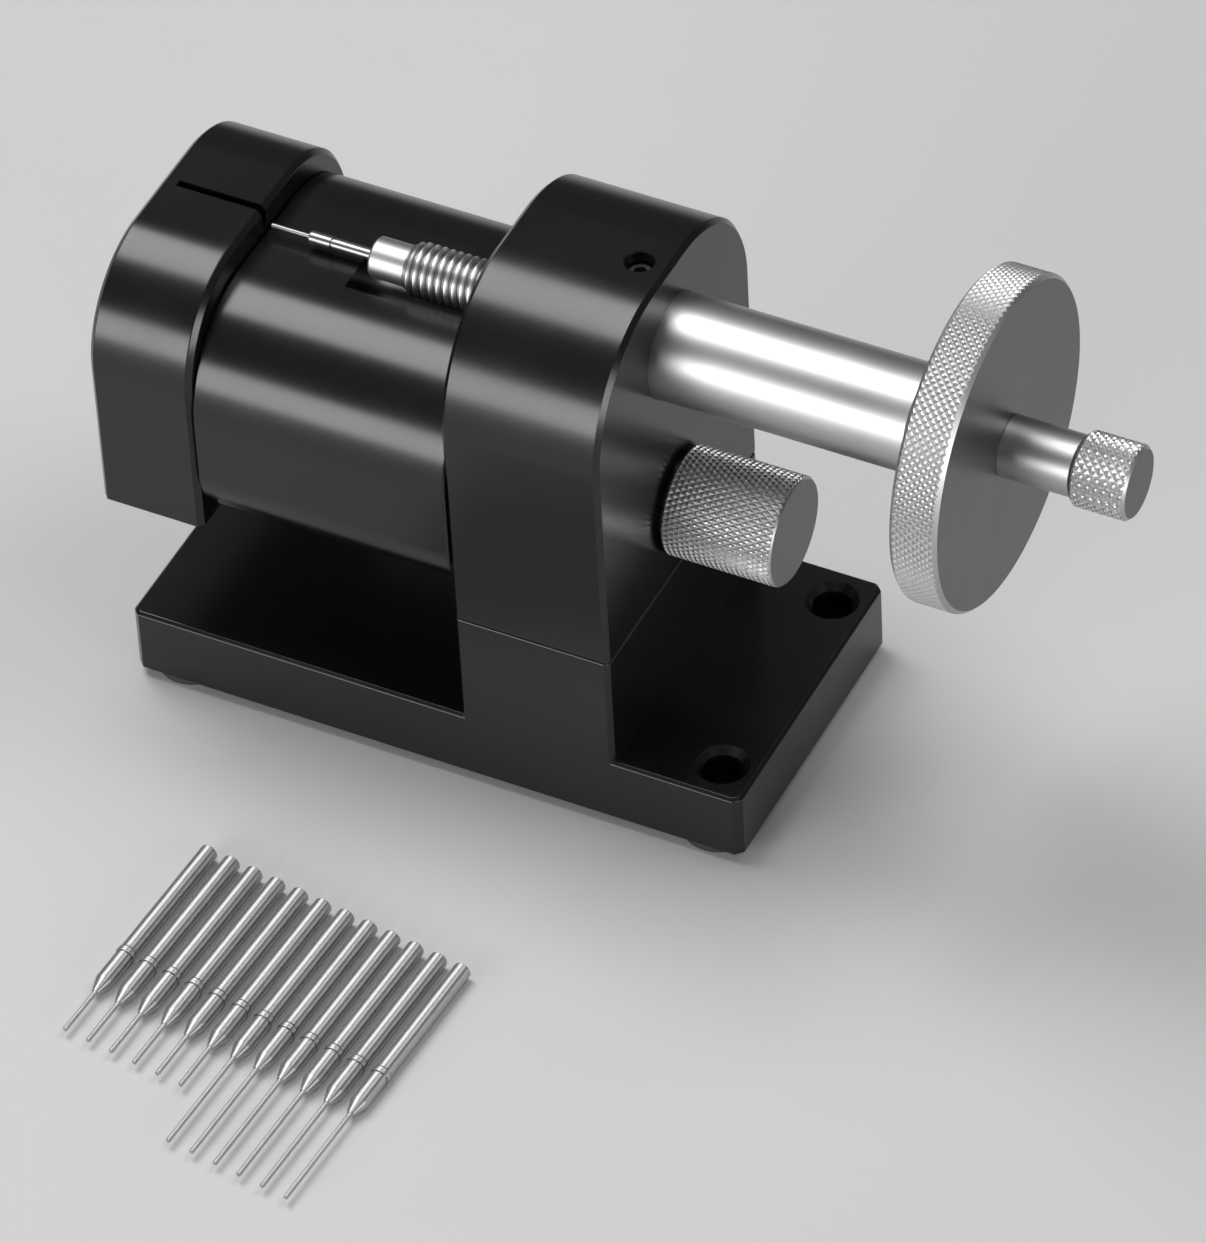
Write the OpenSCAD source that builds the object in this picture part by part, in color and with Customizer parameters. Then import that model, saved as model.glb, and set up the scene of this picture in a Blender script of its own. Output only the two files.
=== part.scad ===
// Screw-spindle bench tool that presses the pins out of watch bracelets.
// Sizes are millimetres. X runs along the spindle towards the handwheel, the front is -Y, up is +Z.
// The origin is the centre of the base plate's underside.

/* [Base plate] */
// Length of the base plate, along the spindle
base_l = 120; // [114:1:150]
// Width of the base plate and of the upright that stands on it
base_w = 60; // [58:1:66]
// Thickness of the base plate
base_h = 14; // [12:1:20]
// Chamfer on the four upright corners of the plate
corner_cut = 1.4; // [0.6:0.1:3]
// Chamfer round the top edges of the plate
rim_cut = 0.6; // [0.2:0.1:1.2]
// Radius of the two holes that bolt the tool to a bench
bench_hole_r = 3.6; // [2:0.1:4]
// Width of the countersink round each bench hole
bench_sink = 1.3; // [0.4:0.1:2]
// Distance of the bench holes from the right end of the base
bench_inset = 6.7; // [6:0.1:10]
// Distance of the bench holes and the feet from the sides of the base
side_inset = 7.5; // [7.4:0.1:11]

/* [Upright] */
// Thickness of the upright, along the spindle
post_t = 30; // [28:1:34]
// Place of the middle of the upright along the base
post_x = 20.8; // [19:0.2:24]
// Height of the seam between the riser and the arch
seam_h = 37.8; // [35:0.2:40]
// Height of the crown of the arch
arch_h = 105; // [103:0.5:110]
// Radius of the two shoulders of the arch
arch_round = 24.4; // [12:0.2:27]
// Chamfer along the edges of the upright
post_cut = 0.9; // [0.4:0.1:1.6]
// Chamfer on each side of the seam
seam_cut = 0.35; // [0.1:0.05:0.6]

/* [Support block] */
// How far the block and the head block stand out beyond each side of the upright
side_over = 0.2; // [0:0.1:0.6]
// Length of the block between the head and the upright
block_l = 49; // [46:0.5:52]
// Radius of its two shoulders beside the flat bed
block_round = 20; // [17:0.2:21]
// Radius of its two lower corners
block_low_round = 14; // [8:0.5:17]
// Chamfer round both end faces of the block
block_cut = 0.4; // [0.2:0.1:0.8]
// How far the flat bed on the block lies below the spindle's axis
bed_drop = 2.1; // [1.6:0.1:3]
// Height of the flat underside of the block and of the head
belly_h = 39.7; // [38.5:0.1:42]
// Radius of the trough that clears the spindle
trough_r = 7.5; // [6.5:0.1:9]
// Length of the trough, from the upright
trough_l = 29.8; // [28:0.2:34]

/* [Head block] */
// Thickness of the head block
head_t = 20; // [18:0.5:22]
// Height of the crown of the head block
head_h = 91.1; // [90:0.1:96]
// Radius of the two shoulders of the head block
head_round = 20.3; // [10:0.1:24]
// Chamfer round both faces of the head block
head_cut = 1; // [0.4:0.1:1.6]
// Width of the slit that takes the pushed-out pin
slit_w = 1.5; // [1.1:0.1:2]
// Length of the slit, from the face that the bracelet rests on
slit_l = 16.8; // [10:0.2:17.8]
// Depth of the slit below the spindle's axis
slit_drop = 1.35; // [0.8:0.05:3]

/* [Spindle] */
// Height of the spindle's axis
axis_h = 87.75; // [86:0.25:89]
// Outer radius of the screw thread
thread_r = 5; // [4.6:0.1:5.5]
// Radius of the plain nose
nose_r = 3.75; // [3:0.05:4.2]
// Length of the plain nose
nose_l = 7; // [4:0.5:10]
// How far the nose reaches past the upright
nose_out = 27.2; // [24:0.2:28]
// Chamfer on the front of the nose
nose_cut = 0.5; // [0.2:0.1:0.8]
// Radius of the seat that carries the handwheel
seat_r = 4.2; // [3.6:0.1:4.4]
// Radius of the stud that holds the rear shaft
tail_r = 3; // [2.4:0.1:3.4]
// Length of that stud behind the handwheel
tail_l = 7; // [5:0.5:9]

/* [Barrel] */
// Radius of the polished barrel that the spindle runs in
barrel_r = 9.7; // [9:0.1:10.4]
// How far the barrel stands out of the upright
barrel_out = 48.2; // [40:0.2:50]
// How deep the barrel is set into the upright
barrel_set = 25; // [20:0.5:26]
// Length of the threaded front part of the bore
barrel_thread_l = 22; // [14:1:28]
// Length of the plain guide at the rear of the bore
barrel_guide_l = 12; // [6:1:16]
// Radius of the bore between thread and guide
barrel_relief_r = 6.4; // [5.8:0.1:7.4]
// Chamfer on the rear end of the barrel
barrel_cut = 0.6; // [0.2:0.1:1.2]
// Radius of the screw that locks the barrel
lock_r = 2.5; // [2:0.1:3]
// Length of the screw that locks the barrel
lock_l = 5; // [3:0.5:6]
// Distance of that screw from the rear face of the upright
lock_inset = 5.6; // [4.4:0.2:9]
// Width across the flats of its hexagon socket
lock_key = 2.5; // [1.6:0.1:2.8]
// Chamfer round the mouth of its hole in the crown of the arch
lock_sink = 0.3; // [0.1:0.05:0.8]

/* [Handwheel] */
// Radius of the handwheel
wheel_r = 30; // [26:0.5:32]
// Thickness of the handwheel
wheel_t = 8.8; // [7:0.2:10]
// Gap between the barrel and the handwheel
wheel_gap = 6.1; // [6.1:0.1:9]
// Chamfer round both edges of the rim
wheel_cut = 0.8; // [0.3:0.1:1.5]

/* [Rear shaft and end knob] */
// Radius of the shaft behind the handwheel
rear_r = 5.55; // [4.8:0.05:6.2]
// Length of the shaft behind the handwheel
rear_l = 13.3; // [12:0.1:16]
// Chamfer on the rear end of that shaft
rear_cut = 0.2; // [0.1:0.05:0.6]
// Radius of the end knob
knob_r = 6.8; // [6:0.1:8]
// Length of the end knob
knob_l = 10.3; // [8:0.1:13]
// Chamfer on both ends of the end knob
knob_cut = 0.7; // [0.3:0.1:1.2]
// Gap between the rear shaft and the end knob
knob_gap = 0.3; // [0.2:0.1:0.6]
// Radius of the threaded stub of the end knob
stub_r = 2.5; // [2:0.1:3]
// Length of the threaded stub of the end knob
stub_l = 4.9; // [4:0.1:5]
// Radius of the rod between the end knob and the driver pin
rod_r = 1.5; // [1.3:0.05:1.8]

/* [Driver pin] */
// Radius of the shank of the driver pin
driver_r = 1.1; // [0.8:0.05:1.15]
// Length of the shank held in the nose
driver_held = 27.8; // [18:0.2:30]
// Length of the shank in front of the nose
driver_neck = 8.45; // [6:0.05:10]
// Radius of the collar behind the tip
collar_r = 1.2; // [1.15:0.05:1.5]
// Length of the collar
collar_l = 4.35; // [3:0.05:5]
// Chamfer on the front of the collar
collar_cut = 0.35; // [0.1:0.05:0.5]
// Radius of the tip
tip_r = 0.43; // [0.3:0.01:0.5]
// Length of the tip
tip_l = 7.45; // [6:0.05:7.6]

/* [Clamp knob] */
// Height of the axis of the clamp knob
clamp_h = 51.8; // [49:0.1:54]
// Radius of the clamp knob
clamp_r = 10.1; // [9:0.1:12]
// Length of the clamp knob
clamp_l = 21.1; // [18:0.1:24]
// Chamfer on both ends of the clamp knob
clamp_cut = 0.5; // [0.2:0.1:1.2]
// Radius of the clamp stud
stud_r = 3; // [2.5:0.1:4]
// How deep the stud is screwed into the block
stud_set = 17.8; // [12:0.2:22]
// Length of the stud outside the upright
stud_out = 16.2; // [12:0.2:17]
// Thickness of the washer under the knob
washer_t = 0.7; // [0.5:0.1:1.2]
// Radius of the washer
washer_r = 8.3; // [7:0.1:9]

/* [Spare driver pins] */
// Radius of the shank of a spare pin
spare_r = 1.65; // [1.2:0.05:1.8]
// Length from the rear end to the ring
spare_shank = 27.7; // [24:0.1:32]
// Chamfer on the rear end
spare_cut = 0.2; // [0.05:0.05:0.5]
// Radius of the ring
ring_r = 1.82; // [1.8:0.01:1.95]
// Width of the ring
ring_w = 1; // [0.5:0.1:1.5]
// Length from the ring to the cone
spare_front = 6.8; // [5:0.1:9]
// Length of the cone
cone_l = 2.9; // [2:0.1:4]
// Radius of the small end of the cone
cone_r = 0.7; // [0.5:0.05:0.9]
// Length of a short tip
short_tip = 9.9; // [7:0.1:12]
// Length of a long tip
long_tip = 21.6; // [18:0.1:26]
// Distance between two neighbouring pins
spare_pitch = 4.874; // [4.4:0.002:6]
// How far each next pin lies nearer to the front
spare_step = 0.7; // [0:0.05:1]
// Place of the rear end of the first pin along the base
spare_x = -26.1; // [-32:0.1:-20]
// Distance of the rear end of the first pin in front of the spindle
spare_y = 66; // [60:0.5:80]
// Angle of the pins to the front-to-back line
spare_turn = 3.3; // [0:0.1:5]

/* [Feet and hidden fasteners] */
// Radius of a rubber foot
foot_r = 6.8; // [6:0.1:6.9]
// Distance of the feet from the ends of the base
foot_inset = 7.8; // [7.6:0.1:9]
// Radius of the hole in a foot, on the line of the bench holes
foot_hole_r = 4.2; // [3.8:0.1:4.6]
// How far the feet stand out below the base
foot_out = 1.5; // [0.8:0.1:3]
// How deep the feet are set into the base
foot_set = 1; // [0.5:0.1:2]
// Radius of the bolts that hold the arch
bolt_r = 3; // [2.5:0.1:3.5]
// Radius of the heads of those bolts
bolt_head_r = 5; // [4.5:0.1:6]
// Height of the heads of those bolts
bolt_head_h = 6; // [4:0.1:7]
// Depth of the bolt heads below the underside of the base
bolt_sunk = 2; // [0.5:0.1:3]
// How far those bolts reach into the arch
bolt_grip = 14; // [8:0.5:20]
// Distance between the two arch bolts
bolt_gap = 40; // [34:1:44]
// Radius of the dowels across the seam
dowel_r = 2.5; // [1.5:0.1:3]
// Length of each half of a dowel across the seam
dowel_half = 7.5; // [4:0.5:8]
// Distance between the two dowels across the seam
dowel_gap = 16; // [12:1:20]
// Radius of the screws that hold the head block
cap_r = 2.5; // [2:0.1:3]
// Radius of the heads of those screws
cap_head_r = 4.25; // [4:0.05:5]
// Height of the heads of those screws
cap_head_h = 5; // [3:0.1:6]
// How deep those screws reach into the block
cap_grip = 18; // [10:0.5:22]
// Distance between the two head screws
cap_gap = 24; // [20:1:28]
// Height of the two head screws
cap_h = 62; // [58:0.5:66]
// Width across the flats of the sockets in bolts and screws
socket_key = 4; // [3:0.1:4.5]
// Depth of those sockets
socket_deep = 2.6; // [1.5:0.1:2.9]
// Radius of the dowels between block and upright
key_r = 2; // [1.5:0.1:2.5]
// How far those dowels reach into each side
key_half = 6; // [4:0.5:8]
// Distance between those dowels
key_gap = 32; // [28:1:36]
// Height of those dowels
key_h = 68; // [64:0.5:70]

/* [Fits] */
// Radial play of pieces that are fixed together
fit = 0.03; // [0.02:0.01:0.05]
// Radial play of pieces that turn or slide in each other
run = 0.05; // [0.03:0.01:0.08]
// Play of screws in clearance holes
clear = 0.3; // [0.2:0.05:0.5]

/* [Hidden] */
$fn = 96;
cut_over = 1;
side_r = 2 / sqrt(3) / 2;
post_front = post_x + post_t / 2;
post_back = post_x - post_t / 2;
head_face = post_back - block_l;
head_back = head_face - head_t;
bed_h = axis_h - bed_drop;
block_w = base_w + 2 * side_over;
bench_x = base_l / 2 - bench_inset;
bench_y = base_w / 2 - side_inset;
foot_x = base_l / 2 - foot_inset;
nose_x = post_back - nose_out;
thread_x = nose_x + nose_l;
barrel_x = post_front - barrel_set;
barrel_end = post_front + barrel_out;
wheel_x = barrel_end + wheel_gap;
rear_x = wheel_x + wheel_t;
tail_end = rear_x + tail_l;
rear_end = rear_x + rear_l;
knob_x = rear_end + knob_gap;
stub_x = knob_x - stub_l;
driver_end = nose_x + driver_held;
collar_x = nose_x - driver_neck;
tip_x = collar_x - collar_l;
rod_x = driver_end + fit;
rod_end = stub_x - fit;
stud_x = post_back - stud_set;
stud_end = post_front + stud_out;
clamp_x = post_front + fit + washer_t + fit;
lock_x = post_front - lock_inset;
lock_h = axis_h + barrel_r + fit;
shank_axis_h = ring_r - foot_out;
foot_names = ["foot_front_left", "foot_front_right", "foot_back_left", "foot_back_right"];
foot_sides = [[-1, -1], [1, -1], [-1, 1], [1, 1]];
spare_names = [
    "spare_pin_01", "spare_pin_02", "spare_pin_03", "spare_pin_04", "spare_pin_05", "spare_pin_06",
    "spare_pin_07", "spare_pin_08", "spare_pin_09", "spare_pin_10", "spare_pin_11", "spare_pin_12"
];
short_count = len(spare_names) / 2;

// Turns a child's +Z towards +X.
module along_x() {
    rotate([0, 90, 0]) children();
}

// Puts a child on the spindle's axis.
module on_axis() {
    translate([0, 0, axis_h]) children();
}

// Round bar or hole along X between two stations.
module bar(r, from, to) {
    translate([from, 0, 0]) along_x() cylinder(r = r, h = to - from);
}

// Turned shape along X: each point is a radius and a station.
module turned(line) {
    along_x() rotate_extrude() polygon(line);
}

// Round bar along X with a chamfer on both ends.
module eased_bar(r, from, to, cut) {
    turned([[0, from], [r - cut, from], [r, from + cut], [r, to - cut], [r - cut, to], [0, to]]);
}

// Outline of a rectangle, centred, with its four corners cut.
module cut_rectangle(l, w, cut) {
    x = l / 2;
    y = w / 2;
    polygon([
        [x - cut, -y], [x, -y + cut], [x, y - cut], [x - cut, y],
        [cut - x, y], [-x, y - cut], [-x, cut - y], [cut - x, -y]
    ]);
}

// Section of a block from a low to a high level, with its top and bottom corners cut.
module cut_section(w, low, high, low_cut, high_cut) {
    y = w / 2;
    polygon([
        [low_cut - y, low], [y - low_cut, low], [y, low + low_cut], [y, high - high_cut],
        [y - high_cut, high], [high_cut - y, high], [-y, high - high_cut], [-y, low + low_cut]
    ]);
}

// Block centred on X and Y: side_cut on the upright edges, low_cut and high_cut round the ends.
module eased_block(l, w, low, high, side_cut, low_cut, high_cut) {
    intersection() {
        translate([0, 0, low - cut_over]) linear_extrude(high - low + 2 * cut_over)
            cut_rectangle(l, w, side_cut);
        rotate([90, 0, 0]) linear_extrude(2 * w, center = true) cut_section(l, low, high, low_cut, high_cut);
        rotate([90, 0, 90]) linear_extrude(2 * l, center = true) cut_section(w, low, high, low_cut, high_cut);
    }
}

// Cutter that rounds two corners along X of a block, with its chamfers run on round the curve.
// The corners' centres lie at the level, and the cutter reaches up from the start given.
module corner_cutter(l, w, level, round, cut, start) {
    for (side = [-1, 1]) {
        translate([0, side * (w / 2 - round), level]) difference() {
            translate([-l, side > 0 ? 0 : -round - cut_over, start])
                cube([2 * l, round + cut_over, round + cut_over]);
            eased_bar(round, -l / 2, l / 2, cut);
        }
    }
}

// Block with two round shoulders.
module arched_block(l, w, low, high, round, cut, low_cut) {
    difference() {
        eased_block(l, w, low, high, cut, low_cut, cut);
        corner_cutter(l, w, high - round, round, cut, 0);
    }
}

// Upright hexagon socket, opening upwards at level 0.
module socket(key, deep) {
    translate([0, 0, -deep]) cylinder(r = key * side_r, h = deep + cut_over, $fn = 6);
}

// Cap screw along Z with its head below level 0 and its shank above.
module cap_screw(r, l, head_r, head_h, key, deep) {
    difference() {
        union() {
            translate([0, 0, -head_h]) cylinder(r = head_r, h = head_h);
            cylinder(r = r, h = l);
        }
        translate([0, 0, -head_h]) mirror([0, 0, 1]) socket(key, deep);
    }
}

// Puts a child at each end of the two-bolt line across the upright.
module at_bolts(gap) {
    for (side = [-1, 1]) translate([post_x, side * gap / 2, 0]) children();
}

// Puts a child at both places of a pair that lies across the tool.
module at_pair(gap, level) {
    for (side = [-1, 1]) translate([0, side * gap / 2, level]) children();
}

// Bench hole with its countersink, from below the foot to above the plate.
module bench_hole() {
    translate([0, 0, -cut_over]) cylinder(r = bench_hole_r, h = base_h + 2 * cut_over);
    translate([0, 0, base_h - bench_sink])
        cylinder(r1 = bench_hole_r, r2 = bench_hole_r + bench_sink, h = bench_sink);
    translate([0, 0, base_h]) cylinder(r = bench_hole_r + bench_sink, h = cut_over);
}

// Base plate and riser, cut from one piece.
module base_plate() {
    color("black") difference() {
        union() {
            eased_block(base_l, base_w, 0, base_h, corner_cut, rim_cut, rim_cut);
            translate([post_x, 0, 0])
                eased_block(post_t, base_w, rim_cut, seam_h, post_cut, rim_cut, seam_cut);
        }
        for (side = [-1, 1]) translate([bench_x, side * bench_y, 0]) bench_hole();
        for (side = foot_sides) translate([side[0] * foot_x, side[1] * bench_y, -cut_over])
            cylinder(r = foot_r + fit, h = foot_set + fit + cut_over);
        at_bolts(bolt_gap) {
            translate([0, 0, -cut_over])
                cylinder(r = bolt_head_r + clear, h = bolt_sunk + bolt_head_h + cut_over);
            cylinder(r = bolt_r + clear, h = seam_h + cut_over);
        }
        at_bolts(dowel_gap) translate([0, 0, seam_h - dowel_half - fit])
            cylinder(r = dowel_r + fit, h = dowel_half + fit + cut_over);
    }
}

// Arch that carries the barrel, with the holes for everything that is fixed in it.
module arch_housing() {
    color("black") difference() {
        translate([post_x, 0, 0])
            arched_block(post_t, base_w, seam_h, arch_h, arch_round, post_cut, seam_cut);
        on_axis() bar(barrel_r + fit, barrel_x - fit, post_front + cut_over);
        on_axis() bar(thread_r + clear, post_back - cut_over, barrel_x + cut_over);
        translate([0, 0, clamp_h]) bar(stud_r + clear, post_back - cut_over, post_front + cut_over);
        translate([lock_x, 0, axis_h]) cylinder(r = lock_r + fit, h = arch_h - axis_h + cut_over);
        translate([lock_x, 0, arch_h - lock_sink])
            cylinder(r1 = lock_r + fit, r2 = lock_r + fit + lock_sink + cut_over, h = lock_sink + cut_over);
        at_bolts(bolt_gap) translate([0, 0, seam_h - cut_over])
            cylinder(r = bolt_r + fit, h = bolt_grip + fit + cut_over);
        at_bolts(dowel_gap) translate([0, 0, seam_h - cut_over])
            cylinder(r = dowel_r + fit, h = dowel_half + fit + cut_over);
        at_pair(key_gap, key_h) bar(key_r + fit, post_back - cut_over, post_back + key_half + fit);
    }
}

// Support block with a flat bed on top, four round corners and a trough for the spindle.
module support_block() {
    color("black") difference() {
        translate([head_face + block_l / 2, 0, 0]) difference() {
            arched_block(block_l, block_w, belly_h, bed_h, block_round, block_cut, block_cut);
            corner_cutter(
                block_l, block_w, belly_h + block_low_round, block_low_round, block_cut,
                -block_low_round - cut_over
            );
        }
        on_axis() bar(trough_r, post_back - trough_l, post_back + cut_over);
        translate([0, 0, clamp_h]) bar(stud_r + fit, stud_x - fit, post_back + cut_over);
        at_pair(key_gap, key_h) bar(key_r + fit, post_back - key_half - fit, post_back + cut_over);
        at_pair(cap_gap, cap_h) bar(cap_r + fit, head_face - cut_over, head_face + cap_grip + fit);
    }
}

// Head block with the slit that the bracelet's pin is pushed into.
module head_block() {
    color("black") difference() {
        translate([head_back + head_t / 2, 0, 0])
            arched_block(head_t, block_w, belly_h, head_h, head_round, head_cut, head_cut);
        translate([head_face - slit_l, -slit_w / 2, axis_h - slit_drop])
            cube([slit_l + cut_over, slit_w, head_h - axis_h + slit_drop + cut_over]);
        at_pair(cap_gap, cap_h) {
            bar(cap_head_r + clear, head_back - cut_over, head_back + cap_head_h + clear);
            bar(cap_r + clear, head_back, head_face + cut_over);
        }
    }
}

// Polished barrel: threaded at the front, relieved in the middle, a plain guide at the rear.
module barrel() {
    color("silver") on_axis() difference() {
        turned([
            [0, barrel_x], [barrel_r - barrel_cut, barrel_x], [barrel_r, barrel_x + barrel_cut],
            [barrel_r, barrel_end - barrel_cut], [barrel_r - barrel_cut, barrel_end], [0, barrel_end]
        ]);
        bar(thread_r + run, barrel_x - cut_over, barrel_end + cut_over);
        bar(barrel_relief_r, barrel_x + barrel_thread_l, barrel_end - barrel_guide_l);
    }
}

// Spindle: plain nose, screw thread, handwheel seat and rear stud, drilled through.
module spindle() {
    color("silver") on_axis() difference() {
        turned([
            [0, nose_x], [nose_r - nose_cut, nose_x], [nose_r, nose_x + nose_cut], [nose_r, thread_x],
            [thread_r, thread_x + thread_r - nose_r], [thread_r, wheel_x], [seat_r, wheel_x],
            [seat_r, rear_x], [tail_r, rear_x], [tail_r, tail_end], [0, tail_end]
        ]);
        bar(driver_r + run, nose_x - cut_over, driver_end + cut_over);
        bar(rod_r + run, driver_end, tail_end + cut_over);
    }
}

// Driver pin: shank, collar and thin tip.
module driver_pin() {
    color("gainsboro") on_axis() turned([
        [0, tip_x - tip_l], [tip_r, tip_x - tip_l], [tip_r, tip_x], [collar_r - collar_cut, tip_x],
        [collar_r, tip_x + collar_cut], [collar_r, collar_x], [driver_r, collar_x],
        [driver_r, driver_end], [0, driver_end]
    ]);
}

// Rod inside the spindle that the end knob presses against the driver pin.
module stop_rod() {
    color("silver") on_axis() bar(rod_r, rod_x, rod_end);
}

// Handwheel with a plain face and a broad rim.
module handwheel() {
    color("silver") on_axis() difference() {
        eased_bar(wheel_r, wheel_x, rear_x, wheel_cut);
        bar(seat_r + fit, wheel_x - cut_over, rear_x + cut_over);
    }
}

// Shaft behind the handwheel, screwed on the spindle's stud and holding the wheel on its seat.
module rear_shaft() {
    color("silver") on_axis() difference() {
        turned([
            [0, rear_x], [rear_r, rear_x], [rear_r, rear_end - rear_cut], [rear_r - rear_cut, rear_end],
            [0, rear_end]
        ]);
        bar(tail_r + fit, rear_x - cut_over, tail_end + fit);
        bar(rod_r + run, tail_end, rear_end);
        bar(stub_r + run, stub_x - fit, rear_end + cut_over);
    }
}

// End knob with the threaded stub that sets the rod.
module end_knob() {
    color("silver") on_axis() union() {
        eased_bar(knob_r, knob_x, knob_x + knob_l, knob_cut);
        bar(stub_r, stub_x, knob_x + knob_cut);
    }
}

// Stud that ties the block to the upright.
module clamp_stud() {
    color("silver") translate([0, 0, clamp_h]) bar(stud_r, stud_x, stud_end);
}

// Washer between the upright and the clamp knob.
module clamp_washer() {
    color("dimgray") translate([0, 0, clamp_h]) difference() {
        bar(washer_r, post_front + fit, post_front + fit + washer_t);
        bar(stud_r + run, post_front - cut_over, post_front + washer_t + cut_over);
    }
}

// Clamp knob with its blind threaded bore.
module clamp_knob() {
    color("silver") translate([0, 0, clamp_h]) difference() {
        eased_bar(clamp_r, clamp_x, clamp_x + clamp_l, clamp_cut);
        bar(stud_r + run, clamp_x - cut_over, stud_end + cut_over);
    }
}

// Socket set screw in the crown of the arch that locks the barrel.
module barrel_screw() {
    color("dimgray") translate([lock_x, 0, lock_h]) difference() {
        cylinder(r = lock_r, h = lock_l);
        translate([0, 0, lock_l]) socket(lock_key, lock_l / 2);
    }
}

// Two cap screws that hold the head block on the support block.
module head_screws() {
    color("dimgray") at_pair(cap_gap, cap_h) translate([head_back + cap_head_h, 0, 0]) along_x()
        cap_screw(cap_r, head_t - cap_head_h + cap_grip, cap_head_r, cap_head_h, socket_key, socket_deep);
}

// Two dowels between the block and the upright.
module block_dowels() {
    color("silver") at_pair(key_gap, key_h) bar(key_r, post_back - key_half, post_back + key_half);
}

// Two cap screws that hold the arch on the riser, from below.
module arch_bolts() {
    color("dimgray") at_bolts(bolt_gap) translate([0, 0, bolt_sunk + bolt_head_h])
        cap_screw(
            bolt_r, seam_h + bolt_grip - bolt_sunk - bolt_head_h, bolt_head_r, bolt_head_h,
            socket_key, socket_deep
        );
}

// Two dowels across the seam between riser and arch.
module arch_dowels() {
    color("silver") at_bolts(dowel_gap) translate([0, 0, seam_h - dowel_half])
        cylinder(r = dowel_r, h = 2 * dowel_half);
}

// Rubber foot set into the underside of the base, with its hole on the line of the bench holes.
module foot(side) {
    color("black") translate([side[0] * foot_x, side[1] * bench_y, -foot_out]) difference() {
        cylinder(r = foot_r, h = foot_out + foot_set);
        translate([side[0] * (foot_inset - bench_inset), 0, -cut_over])
            cylinder(r = foot_hole_r, h = foot_out + foot_set + 2 * cut_over);
    }
}

// Spare driver pin with a tip of the given length, lying in front of the base.
module spare_pin(place, tip) {
    ring_x = spare_shank;
    front_x = ring_x + ring_w;
    cone_x = front_x + spare_front;
    small_x = cone_x + cone_l;
    color("gainsboro") translate([spare_x + place * spare_pitch, -spare_y - place * spare_step, shank_axis_h])
        rotate([0, 0, -90 - spare_turn]) turned([
            [0, 0], [spare_r - spare_cut, 0], [spare_r, spare_cut], [spare_r, ring_x], [ring_r, ring_x],
            [ring_r, front_x], [spare_r, front_x],
            [spare_r, cone_x], [cone_r, small_x], [tip_r, small_x], [tip_r, small_x + tip], [0, small_x + tip]
        ]);
}

base_plate();
arch_housing();
support_block();
head_block();
barrel();
spindle();
driver_pin();
stop_rod();
handwheel();
rear_shaft();
end_knob();
clamp_stud();
clamp_washer();
clamp_knob();
barrel_screw();
head_screws();
block_dowels();
arch_bolts();
arch_dowels();
for (i = [0 : len(foot_names) - 1]) foot(foot_sides[i]);
for (i = [0 : len(spare_names) - 1])
    spare_pin(i, i < short_count ? short_tip : long_tip);
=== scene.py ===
"""The looks of the watch link remover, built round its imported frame."""

import math

import bmesh
import bpy
from bpy.props import FloatProperty, FloatVectorProperty, PointerProperty
from mathutils import Matrix, Quaternion, Vector


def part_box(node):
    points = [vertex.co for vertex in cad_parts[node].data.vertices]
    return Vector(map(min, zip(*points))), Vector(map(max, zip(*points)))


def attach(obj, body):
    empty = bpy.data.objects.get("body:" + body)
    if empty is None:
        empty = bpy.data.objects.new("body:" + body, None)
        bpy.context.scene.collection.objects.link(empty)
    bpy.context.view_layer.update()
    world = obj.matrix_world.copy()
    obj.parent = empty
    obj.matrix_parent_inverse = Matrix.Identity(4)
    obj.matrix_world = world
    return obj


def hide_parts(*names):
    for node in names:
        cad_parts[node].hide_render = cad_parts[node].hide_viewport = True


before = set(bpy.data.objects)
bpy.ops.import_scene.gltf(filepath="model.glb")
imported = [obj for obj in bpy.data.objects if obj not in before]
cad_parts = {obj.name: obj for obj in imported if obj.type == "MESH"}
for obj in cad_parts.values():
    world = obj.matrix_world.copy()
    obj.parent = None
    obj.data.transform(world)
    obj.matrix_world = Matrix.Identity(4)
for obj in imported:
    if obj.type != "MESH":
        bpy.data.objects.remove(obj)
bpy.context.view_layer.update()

bl_info = {
    "name": "Watch link remover looks",
    "version": (1, 0, 0),
    "blender": (4, 5, 0),
    "location": "3D View > Sidebar > Link remover",
    "description": "Builds the finished surfaces of a bench press for bracelet pins",
    "category": "Object",
}

X = Vector((1, 0, 0))
Y = Vector((0, 1, 0))
Z = Vector((0, 0, 1))
FULL_TURN = 2 * math.pi
ALONG_X = Matrix.Rotation(math.radians(90), 4, "Y")
MERGE = 1e-6
OVERRUN = 0.001
BLOCK_SHARP = math.radians(32)
TURNED_SHARP = math.radians(12)
TURNED_EDGE = math.radians(25)
BLOCK_EDGE = math.radians(60)
ROUND_STEPS = 128
SHOULDER_STEPS = 48
THREAD_STEPS = 40
PHOTO_HEIGHT = 1243
SPARE_NODES = sorted(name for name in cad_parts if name.startswith("spare_pin"))
FOOT_NODES = sorted(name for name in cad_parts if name.startswith("foot"))


def low(node):
    """Lowest corner of a CAD node."""
    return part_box(node)[0]


def high(node):
    """Highest corner of a CAD node."""
    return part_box(node)[1]


def middle(node):
    """Centre of a CAD node's box."""
    return (low(node) + high(node)) / 2


def across(node):
    """Radius of a round CAD node that lies along X, from its box's width."""
    return (high(node).y - low(node).y) / 2


SPINDLE_AXIS = Vector((0, 0, middle("barrel").z))
CLAMP_AXIS = Vector((0, 0, middle("clamp_knob").z))


def length(name, description, default):
    """A size in metres that a user may change."""
    return FloatProperty(
        name=name, description=description, default=default, unit="LENGTH", subtype="DISTANCE", precision=5
    )


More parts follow.
